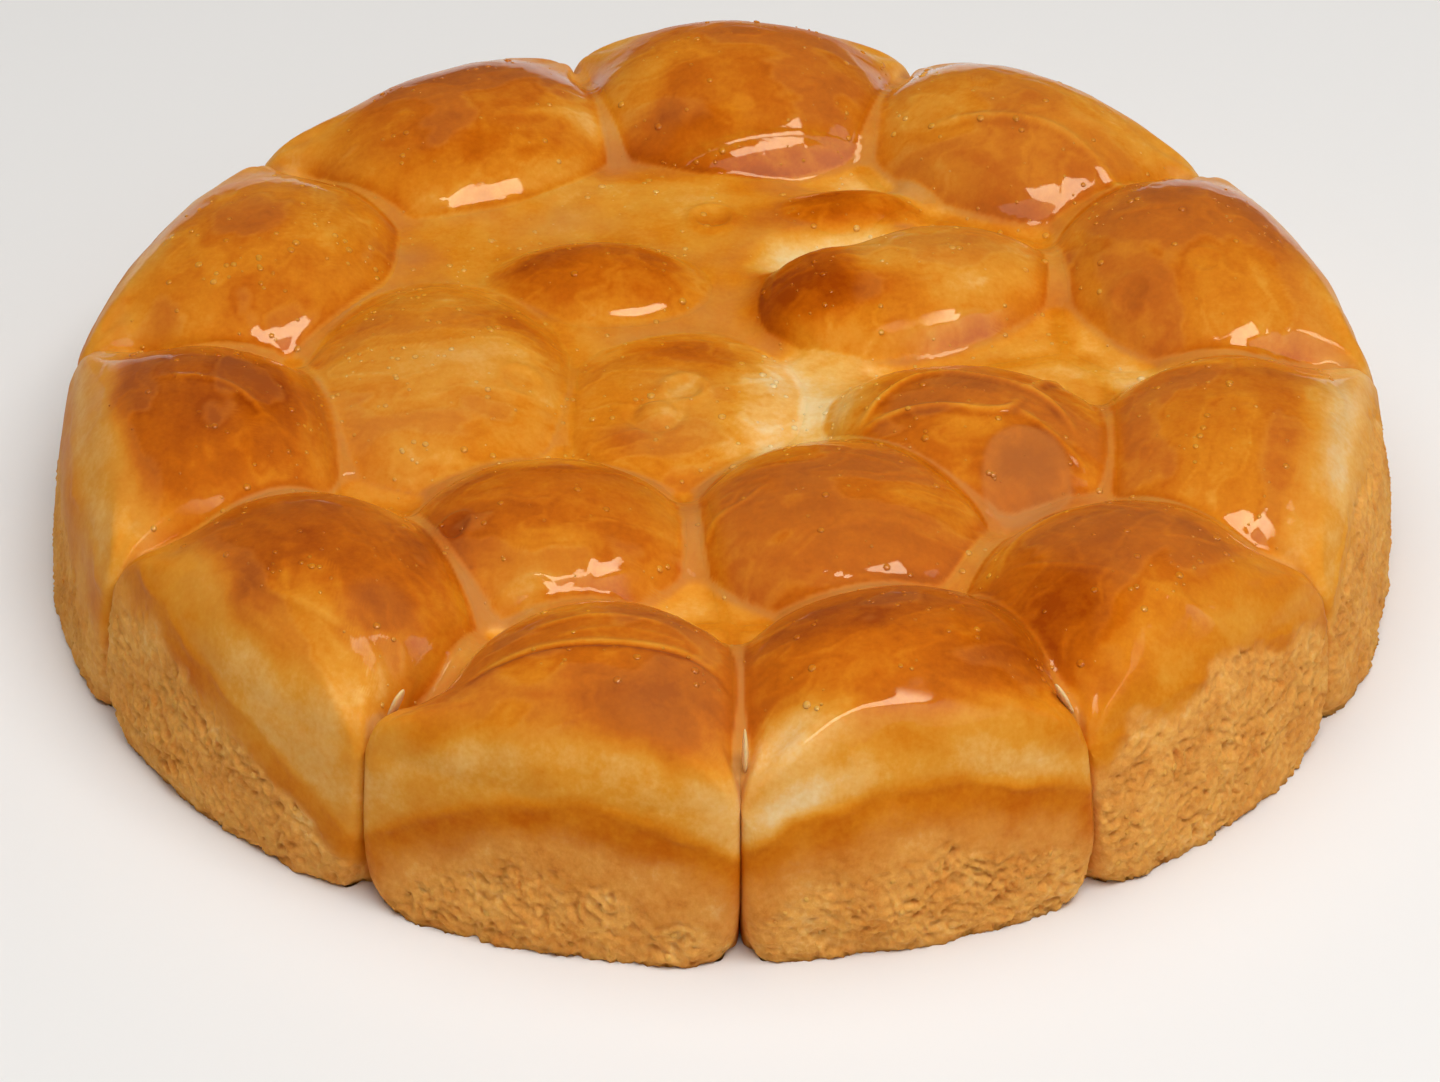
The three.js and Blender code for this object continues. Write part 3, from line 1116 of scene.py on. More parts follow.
class GlazeDrops:
    """The drops in the seams, each a closed egg."""

    SEGMENTS = 24
    RINGS = 16
    UNEVEN = Grain(3.0, strength=0.18)

    def __init__(self, drops: Sequence[Drop], noise: GradientNoise) -> None:
        """Keep the drops and the noise that makes them uneven."""
        self.drops = drops
        self.noise = noise

    def build(self) -> Skin:
        """Make all the drops as one skin.

        Returns:
            The skin, without its finish values.
        """
        starts = np.arange(len(self.drops))[:, None, None] * (self.SEGMENTS * self.RINGS + 2)
        quads, caps = self.faces()
        return Skin.plain(
            np.concatenate([self.shape(drop) for drop in self.drops]),
            (quads[None] + starts).reshape(-1, 4),
            (caps[None] + starts).reshape(-1, 3),
        )

    def shape(self, drop: Drop) -> np.ndarray:
        """The points of one drop.

        Args:
            drop: The drop.

        Returns:
            Its points, ring by ring, and then its two ends.
        """
        turn, rise = np.meshgrid(
            np.arange(self.SEGMENTS) / self.SEGMENTS * 2 * math.pi,
            (np.arange(self.RINGS) + 1) / (self.RINGS + 1) * math.pi - math.pi / 2,
        )
        level = np.cos(rise)
        ball = np.stack([level * np.sin(turn), -level * np.cos(turn), np.sin(rise)], axis=-1)
        ball = np.concatenate([ball.reshape(-1, 3), [(0.0, 0.0, -1.0), (0.0, 0.0, 1.0)]])
        side, out, up = (ball * drop.size).T
        lean = math.radians(drop.lean)
        tilted = side * math.cos(lean) + up * math.sin(lean)
        up = up * math.cos(lean) - side * math.sin(lean)
        x, y, z = drop.place
        around = math.atan2(x, -y)
        points = np.column_stack([
            x + tilted * math.cos(around) - out * math.sin(around),
            y + tilted * math.sin(around) + out * math.cos(around),
            z + up,
        ])
        return points + (points - drop.place) * self.noise.at(points, self.UNEVEN)[:, None]

    def faces(self) -> tuple[np.ndarray, np.ndarray]:
        """The squares and the end triangles of one drop.

        Returns:
            The squares and the triangles, as numbers of points.
        """
        index = np.arange(self.SEGMENTS * self.RINGS).reshape(self.RINGS, self.SEGMENTS)
        after = np.roll(index, -1, axis=1)
        quads = np.stack([index[:-1], after[:-1], after[1:], index[1:]], axis=-1).reshape(-1, 4)
        low = np.full(self.SEGMENTS, index.size)
        caps = [(after[0], index[0], low), (index[-1], after[-1], low + 1)]
        return quads, np.concatenate([np.stack(cap, axis=-1) for cap in caps])


# ---------------------------------------------------------------- finishes


def srgb(code: str) -> tuple[float, float, float, float]:
    """Turn an sRGB hex colour into linear light."""
    levels = (int(code[i : i + 2], 16) / 255.0 for i in (0, 2, 4))
    linear = (v / 12.92 if v <= 0.04045 else ((v + 0.055) / 1.055) ** 2.4 for v in levels)
    return (*linear, 1.0)


def add_node(
    tree: bpy.types.NodeTree,
    kind: str,
    settings: dict[str, object] | None = None,
    inputs: dict[str | int, object] | None = None,
) -> bpy.types.Node:
    """Add a node with its settings, values and links.

    Args:
        tree: The tree it goes in.
        kind: The node's type name.
        settings: Properties of the node.
        inputs: Values for its inputs, or sockets to link to them.

    Returns:
        The node.
    """
    node = tree.nodes.new(kind)
    for name, value in (settings or {}).items():
        setattr(node, name, value)
    for name, value in (inputs or {}).items():
        if isinstance(value, bpy.types.NodeSocket):
            tree.links.new(value, node.inputs[name])
        else:
            node.inputs[name].default_value = value
    return node


def colour_ramp(
    tree: bpy.types.NodeTree, stops: Sequence[tuple[float, str]], factor: bpy.types.NodeSocket
) -> bpy.types.NodeSocket:
    """A colour ramp with its stops, driven by a factor.

    Args:
        tree: The tree it goes in.
        stops: The place and the colour of each stop.
        factor: What drives it.

    Returns:
        Its colour.
    """
    node = add_node(tree, "ShaderNodeValToRGB", inputs={"Fac": factor})
    ramp = node.color_ramp
    while len(ramp.elements) < len(stops):
        ramp.elements.new(1.0)
    for element, (place, code) in zip(ramp.elements, stops):
        element.position = place
        element.color = srgb(code)
    return node.outputs["Color"]


@dataclass(frozen=True)
class GlazedCrust:
    """Oven-baked enriched dough under set honey glaze, and bare where the tin pressed it.

    The crust goes from cream through gold to deep orange-brown with its bake. The glaze is a
    clear coat, milky where it is thick, and the tin's wall is dry and rough.
    """

    name: str = "glazed_crust"
    bakes: tuple[tuple[float, str], ...] = (
        (0.00, "ecca92"),
        (0.18, "e8b05e"),
        (0.36, "de9630"),
        (0.52, "d58018"),
        (0.72, "c26308"),
        (1.00, "983f02"),
    )
    milky: str = "c07e42"
    wall_bakes: tuple[tuple[float, str], ...] = (
        (0.22, "b8682a"),
        (0.40, "de9442"),
        (0.58, "eeac56"),
        (0.80, "f8cc84"),
    )
    # the colour of the painted shade along the foot and in the wall's folds
    shade_brown: str = "8a4c1a"
    sheen: str = "f0b878"
    crust_rough: float = 0.40
    wall_rough: float = 0.70
    crust_ior: float = 1.42  # dry starch
    syrup_ior: float = 1.48  # set sugar syrup
    syrup_rough: float = 0.05
    crumb_depth: float = 3.0  # how far light goes into the crumb
    crumb_tint: Triple = (1.0, 0.42, 0.16)  # and the share of it for red, green and blue
    grain_depth: float = 0.25

    def build(self) -> bpy.types.Material:
        """Make the material.

        Returns:
            The material.
        """
        material = bpy.data.materials.new(self.name)
        material.use_nodes = True
        tree = material.node_tree
        tree.nodes.clear()
        add = partial(add_node, tree)
        place = add("ShaderNodeTexCoord").outputs["Object"]

        def sum_of(operation: str, *values: object) -> bpy.types.NodeSocket:
            """One sum on two or three values."""
            return add("ShaderNodeMath", {"operation": operation}, dict(enumerate(values))).outputs[0]

        def value_of(name: str) -> bpy.types.NodeSocket:
            """One of the skin's own values."""
            return add("ShaderNodeAttribute", {"attribute_name": name}).outputs["Fac"]

        def mottle(size: float, detail: float, rough: float = 0.5) -> bpy.types.NodeSocket:
            """Unevenness with patches of about that size."""
            inputs = {"Vector": place, "Scale": 1.0 / (size * MM), "Detail": detail}
            return add("ShaderNodeTexNoise", inputs={**inputs, "Roughness": rough}).outputs["Fac"]

        def blend(factor: object, first: object, second: object) -> bpy.types.NodeSocket:
            """One colour turning into another."""
            inputs = {"Factor": factor, 6: first, 7: second}
            return add("ShaderNodeMix", {"data_type": "RGBA"}, inputs).outputs[2]

        def between(factor: object, first: object, second: object) -> bpy.types.NodeSocket:
            """One number turning into another."""
            inputs = {"Factor": factor, 2: first, 3: second}
            return add("ShaderNodeMix", {"data_type": "FLOAT"}, inputs).outputs[0]

        wall, milk = value_of("wall"), value_of("milk")
        # Browning varies in blotches of about 5 mm and in specks of 1 mm.
        blotch = sum_of("MULTIPLY_ADD", mottle(5.0, 4.0, 0.6), 0.28, value_of("bake"))
        speck = sum_of("MULTIPLY_ADD", mottle(1.1, 2.0, 0.6), 0.20, blotch)
        crust = colour_ramp(tree, self.bakes, sum_of("SUBTRACT", speck, 0.24))
        glazed = blend(milk, crust, srgb(self.milky))
        # The wall is mottled in patches of 9 mm and grained at 1.6 mm.
        grain = sum_of("MULTIPLY", mottle(1.6, 3.0, 0.65), 0.5)
        bare = sum_of("MULTIPLY_ADD", mottle(9.0, 2.0), 0.5, grain)
        dry = colour_ramp(tree, self.wall_bakes, bare)
        # Painted shade darkens the foot and the hollows of the wall.
        dry = blend(value_of("scorch"), dry, srgb(self.shade_brown))
        colour = blend(wall, glazed, dry)

        # The crust under the glaze is duller in patches of 3 mm, and pored at 0.9 mm.
        crust_rough = sum_of("MULTIPLY_ADD", mottle(3.0, 3.0), 0.12, self.crust_rough)
        rough = between(wall, crust_rough, self.wall_rough)
        pores = {
            "Height": mottle(0.9, 3.0, 0.6),
            "Distance": self.grain_depth * MM,
            "Strength": between(wall, 0.2, 0.9),
        }
        bump = add("ShaderNodeBump", inputs=pores).outputs["Normal"]
        inputs = {
            "Base Color": colour,
            "Roughness": rough,
            "IOR": self.crust_ior,
            "Specular IOR Level": 0.10,
            "Specular Tint": srgb(self.sheen),
            "Subsurface Weight": 0.25,
            "Subsurface Radius": self.crumb_tint,
            "Subsurface Scale": self.crumb_depth * MM,
            "Coat Weight": value_of("wet"),
            "Coat Roughness": self.syrup_rough,
            "Coat IOR": self.syrup_ior,
            "Normal": bump,
        }
        shader = add("ShaderNodeBsdfPrincipled", {"subsurface_method": "RANDOM_WALK"}, inputs)
        add("ShaderNodeOutputMaterial", inputs={"Surface": shader.outputs["BSDF"]})
        return material


# ---------------------------------------------------------------- small things


def link(name: str, data: bpy.types.ID) -> bpy.types.Object:
    """Put a mesh, lamp or camera in the scene as an object."""
    made = bpy.data.objects.new(name, data)
    bpy.context.scene.collection.objects.link(made)
    return made


@dataclass(frozen=True)
class Strewn:
    """Small round things strewn over a host by geometry nodes, all of one kind.

    Each is a flattened ball half sunk in the surface. It takes its finish values from the host
    at the place where it lies.
    """

    name: str
    density: float  # pieces a square millimetre where the host's share is 1
    least: float  # radius
    most: float
    flat: float  # height as a share of width
    seed: int
    segments: int = 8
    rings: int = 5

    SHARE = "strewn"  # the host's value that says how many lie there, 0 to 1

    def settings(self, finish: bpy.types.Material) -> dict[str, tuple[str, object]]:
        """What the tree is given besides its host: the kind of each input, and its value."""
        return {
            "Density": ("NodeSocketFloat", self.density / MM**2),
            "Least": ("NodeSocketFloat", self.least * MM),
            "Most": ("NodeSocketFloat", self.most * MM),
            "Flat": ("NodeSocketFloat", self.flat),
            "Seed": ("NodeSocketInt", self.seed),
            "Finish": ("NodeSocketMaterial", finish),
        }

    def tree(self, kinds: dict[str, str]) -> tuple[bpy.types.NodeTree, dict[str, str]]:
        """Make the node tree.

        Args:
            kinds: The kind of each of its inputs.

        Returns:
            The tree, and the identifier of each of its inputs by name.
        """
        tree = bpy.data.node_groups.new(self.name, "GeometryNodeTree")
        add = partial(add_node, tree)
        sockets = {
            name: tree.interface.new_socket(name, in_out="INPUT", socket_type=kind).identifier
            for name, kind in kinds.items()
        }
        tree.interface.new_socket("Pieces", in_out="OUTPUT", socket_type="NodeSocketGeometry")
        given = add("NodeGroupInput").outputs

        def sum_of(operation: str, first: object, second: object) -> bpy.types.NodeSocket:
            """One sum on two values."""
            return add("ShaderNodeMath", {"operation": operation}, {0: first, 1: second}).outputs[0]

        share = add("GeometryNodeInputNamedAttribute", inputs={"Name": self.SHARE})
        density = sum_of("MULTIPLY", share.outputs["Attribute"], given["Density"])
        laid = {"Mesh": given["Host"], "Density": density, "Seed": given["Seed"]}
        spots = add("GeometryNodeDistributePointsOnFaces", inputs=laid).outputs
        ball = {"Segments": self.segments, "Rings": self.rings, "Radius": 1.0}
        ball = add("GeometryNodeMeshUVSphere", inputs=ball)
        # Most are small: the draw is cubed.
        draw = add("FunctionNodeRandomValue", inputs={"Seed": given["Seed"]})
        cubed = sum_of("POWER", draw.outputs[1], 3.0)
        span = {"Value": cubed, 3: given["Least"], 4: given["Most"]}
        width = add("ShaderNodeMapRange", inputs=span).outputs[0]
        height = sum_of("MULTIPLY", width, given["Flat"])
        scale = add("ShaderNodeCombineXYZ", inputs={0: width, 1: width, 2: height})
        placing = {
            "Points": spots["Points"],
            "Instance": ball.outputs["Mesh"],
            "Rotation": spots["Rotation"],
            "Scale": scale.outputs[0],
        }
        made = add("GeometryNodeInstanceOnPoints", inputs=placing).outputs["Instances"]
        for step in ("GeometryNodeRealizeInstances", "GeometryNodeSetShadeSmooth"):
            made = add(step, inputs={0: made}).outputs[0]
        finishing = {"Geometry": made, "Material": given["Finish"]}
        made = add("GeometryNodeSetMaterial", inputs=finishing).outputs[0]
        add("NodeGroupOutput", inputs={0: made})
        return tree, sockets

    def strew(self, host: bpy.types.Mesh, finish: bpy.types.Material) -> bpy.types.Object:
        """Strew them over a host.

        Args:
            host: A mesh with the share of them at each of its points.
            finish: Their material.

        Returns:
            All of them as one plain piece.
        """
        settings = self.settings(finish)
        kinds = {"Host": "NodeSocketGeometry"} | {name: kind for name, (kind, _) in settings.items()}
        tree, sockets = self.tree(kinds)
        carrier = link(f"{self.name}_host", host)
        modifier = carrier.modifiers.new("strew", "NODES")
        modifier.node_group = tree
        for name, (_, value) in settings.items():
            modifier[sockets[name]] = value
        evaluated = carrier.evaluated_get(bpy.context.evaluated_depsgraph_get())
        mesh = bpy.data.meshes.new_from_object(evaluated)
        mesh.name = self.name
        carrier.modifiers.remove(modifier)
        bpy.data.objects.remove(carrier)
        bpy.data.meshes.remove(host)
        bpy.data.node_groups.remove(tree)
        return link(self.name, mesh)


# ---------------------------------------------------------------- the loaf


TOPPING = Topping(
    pools=(
        Pool((16, -5), (8, 13), 34.6, turn=-20),  # between the centre roll and its right
        Pool((-22, 40), (30, 22), 35.4, turn=15, steep=8),  # round the small oval
        Pool((4, 50), (20, 12), 35.2, turn=10, steep=8),
        Pool((-50, 38), (14, 10), 34),
    ),
    patches=(
        # paler, where the dough rose late or lay against its neighbour
        Patch((12, -117), (10, 7), 10, bake=-0.42, soft=1.2),
        Patch((50, -110), (8, 6), 10, bake=-0.20, soft=1.2),
        Patch((16, -5), (10.5, 19), -20, bake=-0.33, milk=-0.5, soft=1.3),
        Patch((20, -15), (8, 8), bake=-0.12, milk=-0.4, soft=1),
        Patch((-30, -34), (11, 5), 10, bake=-0.26, milk=-0.4),
        Patch((80, 3), (14, 4.5), -14, bake=-0.28, milk=-0.4),
        Patch((112, -24), (10, 20), -12, bake=-0.17),
        Patch((-23, 87), (12, 8), 20, bake=-0.26),
        Patch((-26, -64), (10, 7), 15, bake=-0.12),
        Patch((-75, -91), (19, 12), -38, bake=-0.26, soft=1.2),
        Patch((-36, -108), (10, 9), 20, bake=-0.10, soft=1.2),
        Patch((-36, -64), (11, 8), 10, bake=-0.22, soft=1.2),
        Patch((0, -119), (5, 6), bake=-0.16, soft=1.2),
        Patch((36, 66), (14, 5), -20, bake=-0.14),
        # the pale saddle between two rolls at the back, sunk under them
        Patch((21, 44.5), (14, 6.5), 20, bake=-0.40, milk=-0.7, lift=-2.8, soft=0.9, ragged=0.12),
        # the merged middle and the plateau behind it, more golden, and milky only in places
        Patch((-28, -4), (52, 34), milk=-0.30),
        Patch((-55, -10), (20, 22), bake=-0.04, milk=0.42, soft=1.2),
        Patch((-8, -12), (13, 16), milk=0.36, soft=1.2),
        Patch((2, -14), (13, 14), -20, bake=-0.22, soft=1.3),
        Patch((-20, 52), (48, 22), 8, bake=-0.06, milk=-0.40),
        Patch((-12, 60), (14, 8), bake=-0.10, milk=-0.2),
        # browner blotches
        Patch((13, 56), (12, 5), 8, bake=0.12),
        Patch((-8, -110), (7, 10), bake=0.08),
        Patch((-59, -84), (7, 8), bake=0.12, milk=0.15),
        Patch((-58, -102), (12, 12), bake=0.05, soft=1.2),
        Patch((76, -8), (12, 4), 10, bake=0.10),
        Patch((25, 58), (13, 5), 8, bake=0.14),
        Patch((20, -92), (12, 6), 5, bake=0.12),
        Patch((-14, 90), (12, 6), bake=0.12),
        Patch((16, -46), (14, 9), 20, bake=0.08),
        Patch((-14, 76), (14, 7), bake=0.18),
        Patch((54, -84), (11, 15), bake=0.09, milk=-0.3, soft=1.4),
        # the raised dark lip at the left end of the roll behind the centre's right
        Patch((15.5, 25), (9.5, 11), bake=0.40, milk=-0.4, lift=2, soft=0.9, ragged=0.15),
        Patch((29, 19), (10, 7), 10, bake=0.28, soft=1.1),
        # the round dull disc on the roll right of the centre, and the thin glaze round it
        Patch((56, -34), (17, 15), wet=-0.45),
        Patch((55.3, -36), (8.4, 9.2), bake=0.08, milk=0.40, wet=-0.6, lift=0.35, soft=0.14, ragged=0.06),
        # thin glaze that hardly shines
        Patch((22, 13), (17, 10), 14, wet=-0.85, soft=0.5),
        Patch((61, 22), (10, 12), 14, wet=-0.85, soft=0.5),
        Patch((-11, -64), (8, 7), wet=-0.95, soft=0.5),
        Patch((-42, -72), (6, 6), wet=-0.95, soft=0.5),
        Patch((-22, -109), (26, 10), wet=-0.65, ragged=0.1),
        Patch((-9, -117), (16, 7), wet=-0.7, ragged=0.1),
        Patch((30, -102), (28, 6.8), wet=-0.95, soft=0.25, ragged=0.05),
        Patch((28, 56), (17, 8), 8, wet=-0.9, soft=0.5),
        Patch((106, -50), (7, 12), -30, wet=-0.9, soft=0.5),
        Patch((-114, -18), (10, 14), wet=-0.7),
        Patch((0, 118), (64, 16), wet=-0.6, soft=1),
        Patch((90, 80), (60, 15), -48, wet=-0.6, soft=1),
        Patch((-90, 80), (60, 15), 48, wet=-0.6, soft=1),
        Patch((73, -87), (11, 8), wet=-0.8),
        Patch((-58, -94), (8, 7), wet=-0.7),
        # its milk is a painted sheen
        Patch((-5, -106), (13, 14), wet=-0.4, milk=0.08),
        Patch((-98, -43), (20, 14), -40, wet=-0.75),
    ),
    lines=(
        # the film's front edge over the top of the front left roll, and thin lines behind it; the brown step
        # line is painted shade in front of a pale ridge painted as a highlight
        Line(((-48, -103), (-38, -99.5), (-20, -98.5), (-6, -100), (2, -104)),
             height=-1.1, width=1.5, kind=Mark.STEP, bake=0.18),
        Line(((-46, -101.5), (-37, -98), (-20, -97), (-6, -98.5), (1, -102)),
             height=0.55, width=1, bake=-0.34),
        Line(((-34, -91.5), (-22, -89), (-9, -90.5)), height=0.35, width=0.7, bake=-0.16),
        Line(((-30, -95), (-18, -93), (-5, -95.5)), height=0.2, width=0.6, bake=-0.08),
        # the step in the glaze on the front right roll
        Line(((8, -119), (14, -115.5), (22, -112.8), (32, -111.8), (46, -110.4)),
             height=0.8, width=2.4, bake=-0.04),
        # branching wrinkles on the roll right of the centre
        Line(((23.8, -22.7), (28.7, -15.8), (35.6, -9.7), (41.9, -9.4), (46.6, -11),
              (56, -15.1), (61.3, -19.9), (65.6, -27.4)), height=1, width=0.9, bake=-0.26),
        Line(((24, -22.5), (31.3, -21.1), (39.5, -21.1), (48.2, -22.7), (53, -21.1), (55.2, -16.4)),
             height=0.8, width=0.9, bake=-0.24),
        Line(((56, -15.1), (59.7, -9.7), (62.7, -4.8)), height=0.8, width=1, bake=-0.24),
        Line(((53, -21.1), (58.3, -25.8), (62.8, -29.9), (66.8, -33.3)), height=0.6, width=0.8, bake=-0.18),
        # edges of the film on the two rolls at the left
        Line(((-104, -13.5), (-94, -15), (-88, -18), (-82, -25)), height=0.4, width=0.8, bake=-0.16),
        Line(((-82, -73), (-77, -80), (-62, -89), (-58.5, -93.5), (-60.5, -100), (-64, -105)),
             height=0.5, width=0.9, bake=-0.08),
        # edges of the film on the rolls round them
        Line(((39, 77), (51, 75.5), (64, 72), (73, 65.5), (82, 56)),
             height=0.6, width=1.1, bake=-0.16),
        Line(((-3.4, -55.2), (-1.3, -49.5), (4.6, -47.4), (8.1, -43.8)), height=0.4, width=0.8, bake=-0.12),
        Line(((2, -33), (12, -30.5), (24, -33)), height=0.2, width=0.8, bake=0.06),
        Line(((8, -37.5), (20, -35.5), (33, -39)), height=0.2, width=0.7, bake=-0.06),
        Line(((48, -69.4), (50.6, -61.2), (57.2, -53.4), (65.3, -50.7), (77, -55.2)),
             height=0.35, width=0.8, bake=-0.12),
        Line(((49, -68), (63, -73), (80, -79), (93, -80)), height=0.3, width=0.8, bake=-0.08),
        Line(((-64, -88), (-56, -87), (-55.5, -92)), height=0.45, width=0.8, bake=-0.1),
    ),
    rings=(
        Ring((55.3, -36), 8.7, 0.45, bake=0.26),
        Ring((-2, 54.5), 4.2, 0.5, bake=0.16),
        Ring((-47.5, -55), 3, 0.6, bake=0.2),
        Ring((-37, -6), 4, 0.25),
        Ring((77, 21), 3.6, 0.35),
        Ring((91, 25.5), 3, 0.3, bake=-0.1),
        Ring((-7, -6), 4, 0.5, bake=-0.1),
        Ring((-12, -13), 4.5, -0.6, bake=-0.15),
        Ring((20, -118), 2.2, 0.25, bake=0.1),
    ),
)


class Loaf:
    """The whole loaf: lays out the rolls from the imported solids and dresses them."""

    RIM_WAIST = 27.0
    INNER_WAIST = 30.0
    SHOULDER = -3.0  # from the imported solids' outer radius
    SPREAD = 1.0  # the same at the base
    PALE_UNDER = 43.0  # height of crest under which a roll stays pale
    PULLS = {"ring_roll_4": 0.85}
    LOOKS = {
        "rim_roll_1": RollLook((33, 27), (0, -1), dome=2.1, bake=0.86, gold=0.48, rim=0.33,
                               edge=(26, 33, 24), arch=(11, 22, 12)),
        "rim_roll_2": RollLook((32, 29), bake=0.77, gold=0.56, rim=0.46, band=0.56,
                               edge=(30, 34, 27), arch=(28, 33, 25)),
        "rim_roll_3": RollLook((33, 30), (0, 1), bake=0.68, gold=0.36, rim=0.26, band=0.36,
                               edge=(29, 36, 31), arch=(26, 35, 28)),
        "rim_roll_4": RollLook((34, 28), bake=0.69, gold=0.42, arch=(24, 26, 18)),
        "rim_roll_5": RollLook((34, 26), (0, -2), bake=0.56, gold=0.40),
        "rim_roll_6": RollLook((33, 30), bake=0.70, gold=0.34),
        "rim_roll_7": RollLook((33, 29), bake=0.76, gold=0.40),
        "rim_roll_8": RollLook((34, 29), bake=0.65, gold=0.54, rim=0.36,
                               edge=(30, 35, 31), arch=(12, 22, 12)),
        "rim_roll_9": RollLook((31, 30), bake=0.94, gold=0.38, rim=0.34, band=0.50,
                               edge=(30, 33, 28), arch=(16, 24, 18)),
        "rim_roll_10": RollLook((32, 28), dome=2.1, bake=0.88, gold=0.42, rim=0.45, band=0.56,
                                edge=(38, 31, 16), arch=(30, 27, 10)),
        "rim_roll_11": RollLook((28.5, 25), (4.5, -1.5), dome=2.3, bake=0.76, gold=0.32, rim=0.36,
                                band=0.64, edge=(18, 31, 24), arch=(7, 18, 8)),
        "ring_roll_1": RollLook((28, 27), (-2, 0), bake=0.70),
        "ring_roll_2": RollLook((30, 23), (-1, 1), -20, bake=0.74),
        "ring_roll_3": RollLook((31.5, 20.5), (-0.5, -1.5), 22, bake=0.42),
        "ring_roll_4": RollLook((17, 8.5), (13, 0), 8, bake=0.72),
        "ring_roll_5": RollLook((23.5, 15.5), (-4, -9), -4, bake=0.86),
        "ring_roll_6": RollLook((26, 34), (0, 8), bake=0.55, dome=2.3),
        "ring_roll_7": RollLook((27, 23.5), (-3, 3.5), bake=0.85),
        "centre_roll": RollLook((24, 26), (-4, 2), bake=0.66, dome=2.6),
    }
    DROPS = (
        Drop((3.9, -115.2, 39.5), (0.6, 1.9, 5.0)),
        Drop((3.4, -117.0, 29.8), (0.9, 1.9, 1.6), 12.0),
        Drop((58.8, -99.6, 38.6), (0.6, 1.8, 3.8), -24.0),
        Drop((-56.0, -100.2, 38.0), (0.7, 1.9, 3.4), 20.0),
    )
    DROP_GLINT_VALUES = {"bake": 0.02, "milk": 0.0, "wet": 1.0}  # wet, and pale: the pale colour is a painted glint
    BUBBLES = Strewn("glaze_bubbles", density=0.085, least=0.25, most=0.8, flat=0.42, seed=5)
    BUBBLE_SKIP = 2  # steps of the field between the points of the sheet that carries them
    BUBBLE_REACH = 114.0  # from the loaf's axis
    BUBBLE_GLINT = 0.14  # how much paler a bubble is painted than the crust under it, a painted glint
    CLUSTERS = Grain(16.0, 3, 800.0)
    FLAKES = Strewn("crust_flakes", density=0.05, least=0.2, most=0.8, flat=0.35, seed=9, segments=6, rings=4)
    FLAKE_HEIGHTS = (1.0, 26.0)
    COAT = 0.9  # how wet the glaze looks
    COAT_GRAIN = Grain(11.0, 2, 500.0, 0.25)

    def __init__(self) -> None:
        """Read the rolls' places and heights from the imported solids."""
        low, high = CAD_BOX
        outer = (high.x - low.x) / 2 / MM
        self.tin = Tin(shoulder=outer + self.SHOULDER, base=outer + self.SPREAD)
        self.noise = GradientNoise(seed=11)
        self.rolls = [self.read_roll(name) for name in sorted(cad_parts)]
        for roll in self.rolls:
            roll.meet(other for other in self.rolls if other is not roll)
        self.top = TopField(self.rolls, self.tin, self.noise, TOPPING)

    def read_roll(self, name: str) -> Roll:
        """A roll's place and height: the highest point of its solid is over its middle.

        Args:
            name: The node's name.

        Returns:
            The roll.
        """
        peak = max((v.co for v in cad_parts[name].data.vertices), key=lambda p: p.z) / MM
        return Roll(
            name=name,
            middle=np.array([peak.x, peak.y]),
            crest=peak.z,
            waist=self.RIM_WAIST if name.startswith("rim") else self.INNER_WAIST,
            pull=self.PULLS.get(name, 1.0),
            look=self.LOOKS[name],
            tin=self.tin,
        )

    def finish_top(self, skin: Skin) -> None:
        """Read what the finish needs at each point of the top from the field.

        Args:
            skin: The skin, whose finish values are set.
        """
        top, plan = self.top, skin.points[:, :2]
        coat = self.COAT + self.noise.at(skin.points, self.COAT_GRAIN)
        skin.values = {
            "bake": top.sample(top.bake, plan) + top.sample(top.tint, plan),
            "milk": top.sample(top.milk, plan),
            "wet": np.clip(coat + top.sample(top.wet, plan), 0.0, 1.0),
            "wall": np.zeros(len(plan)),
            "scorch": np.zeros(len(plan)),
        }

    @staticmethod
    def make_mesh(name: str, skin: Skin) -> bpy.types.Mesh:
        """Turn a skin into a mesh with its finish values.

        Args:
            name: The mesh's name.
            skin: Its points, faces and finish values.

        Returns:
            The mesh.
        """
        mesh = bpy.data.meshes.new(name)
        faces = [*skin.quads.tolist(), *skin.fan.tolist()]
        mesh.from_pydata((skin.points * MM).tolist(), [], faces)
        mesh.shade_smooth()
        for value_name, value in skin.values.items():
            layer = mesh.attributes.new(value_name, "FLOAT", "POINT")
            layer.data.foreach_set("value", value.astype(np.float32))
        return mesh

    @staticmethod
    def crease(mesh: bpy.types.Mesh, skin: Skin) -> None:
        """Keep the edge sharp where a dome meets the flat between two rolls."""
        inside = np.zeros(len(mesh.vertices), bool)
        inside[skin.border] = skin.outer[skin.border] < 0.1
        edges = np.empty(len(mesh.edges) * 2, np.int32)
        mesh.edges.foreach_get("vertices", edges)
        sharp = inside[edges.reshape(-1, 2)].all(axis=1)
        layer = mesh.attributes.new("sharp_edge", "BOOLEAN", "EDGE")
        layer.data.foreach_set("value", sharp)

    def make_piece(self, name: str, skin: Skin, finish: bpy.types.Material) -> bpy.types.Object:
        """Turn a skin into a piece with its finish.

        Args:
            name: The piece's name.
            skin: Its skin.
            finish: Its material.

        Returns:
            The piece.
        """
        mesh = self.make_mesh(name, skin)
        self.crease(mesh, skin)
        mesh.materials.append(finish)
        return link(name, mesh)

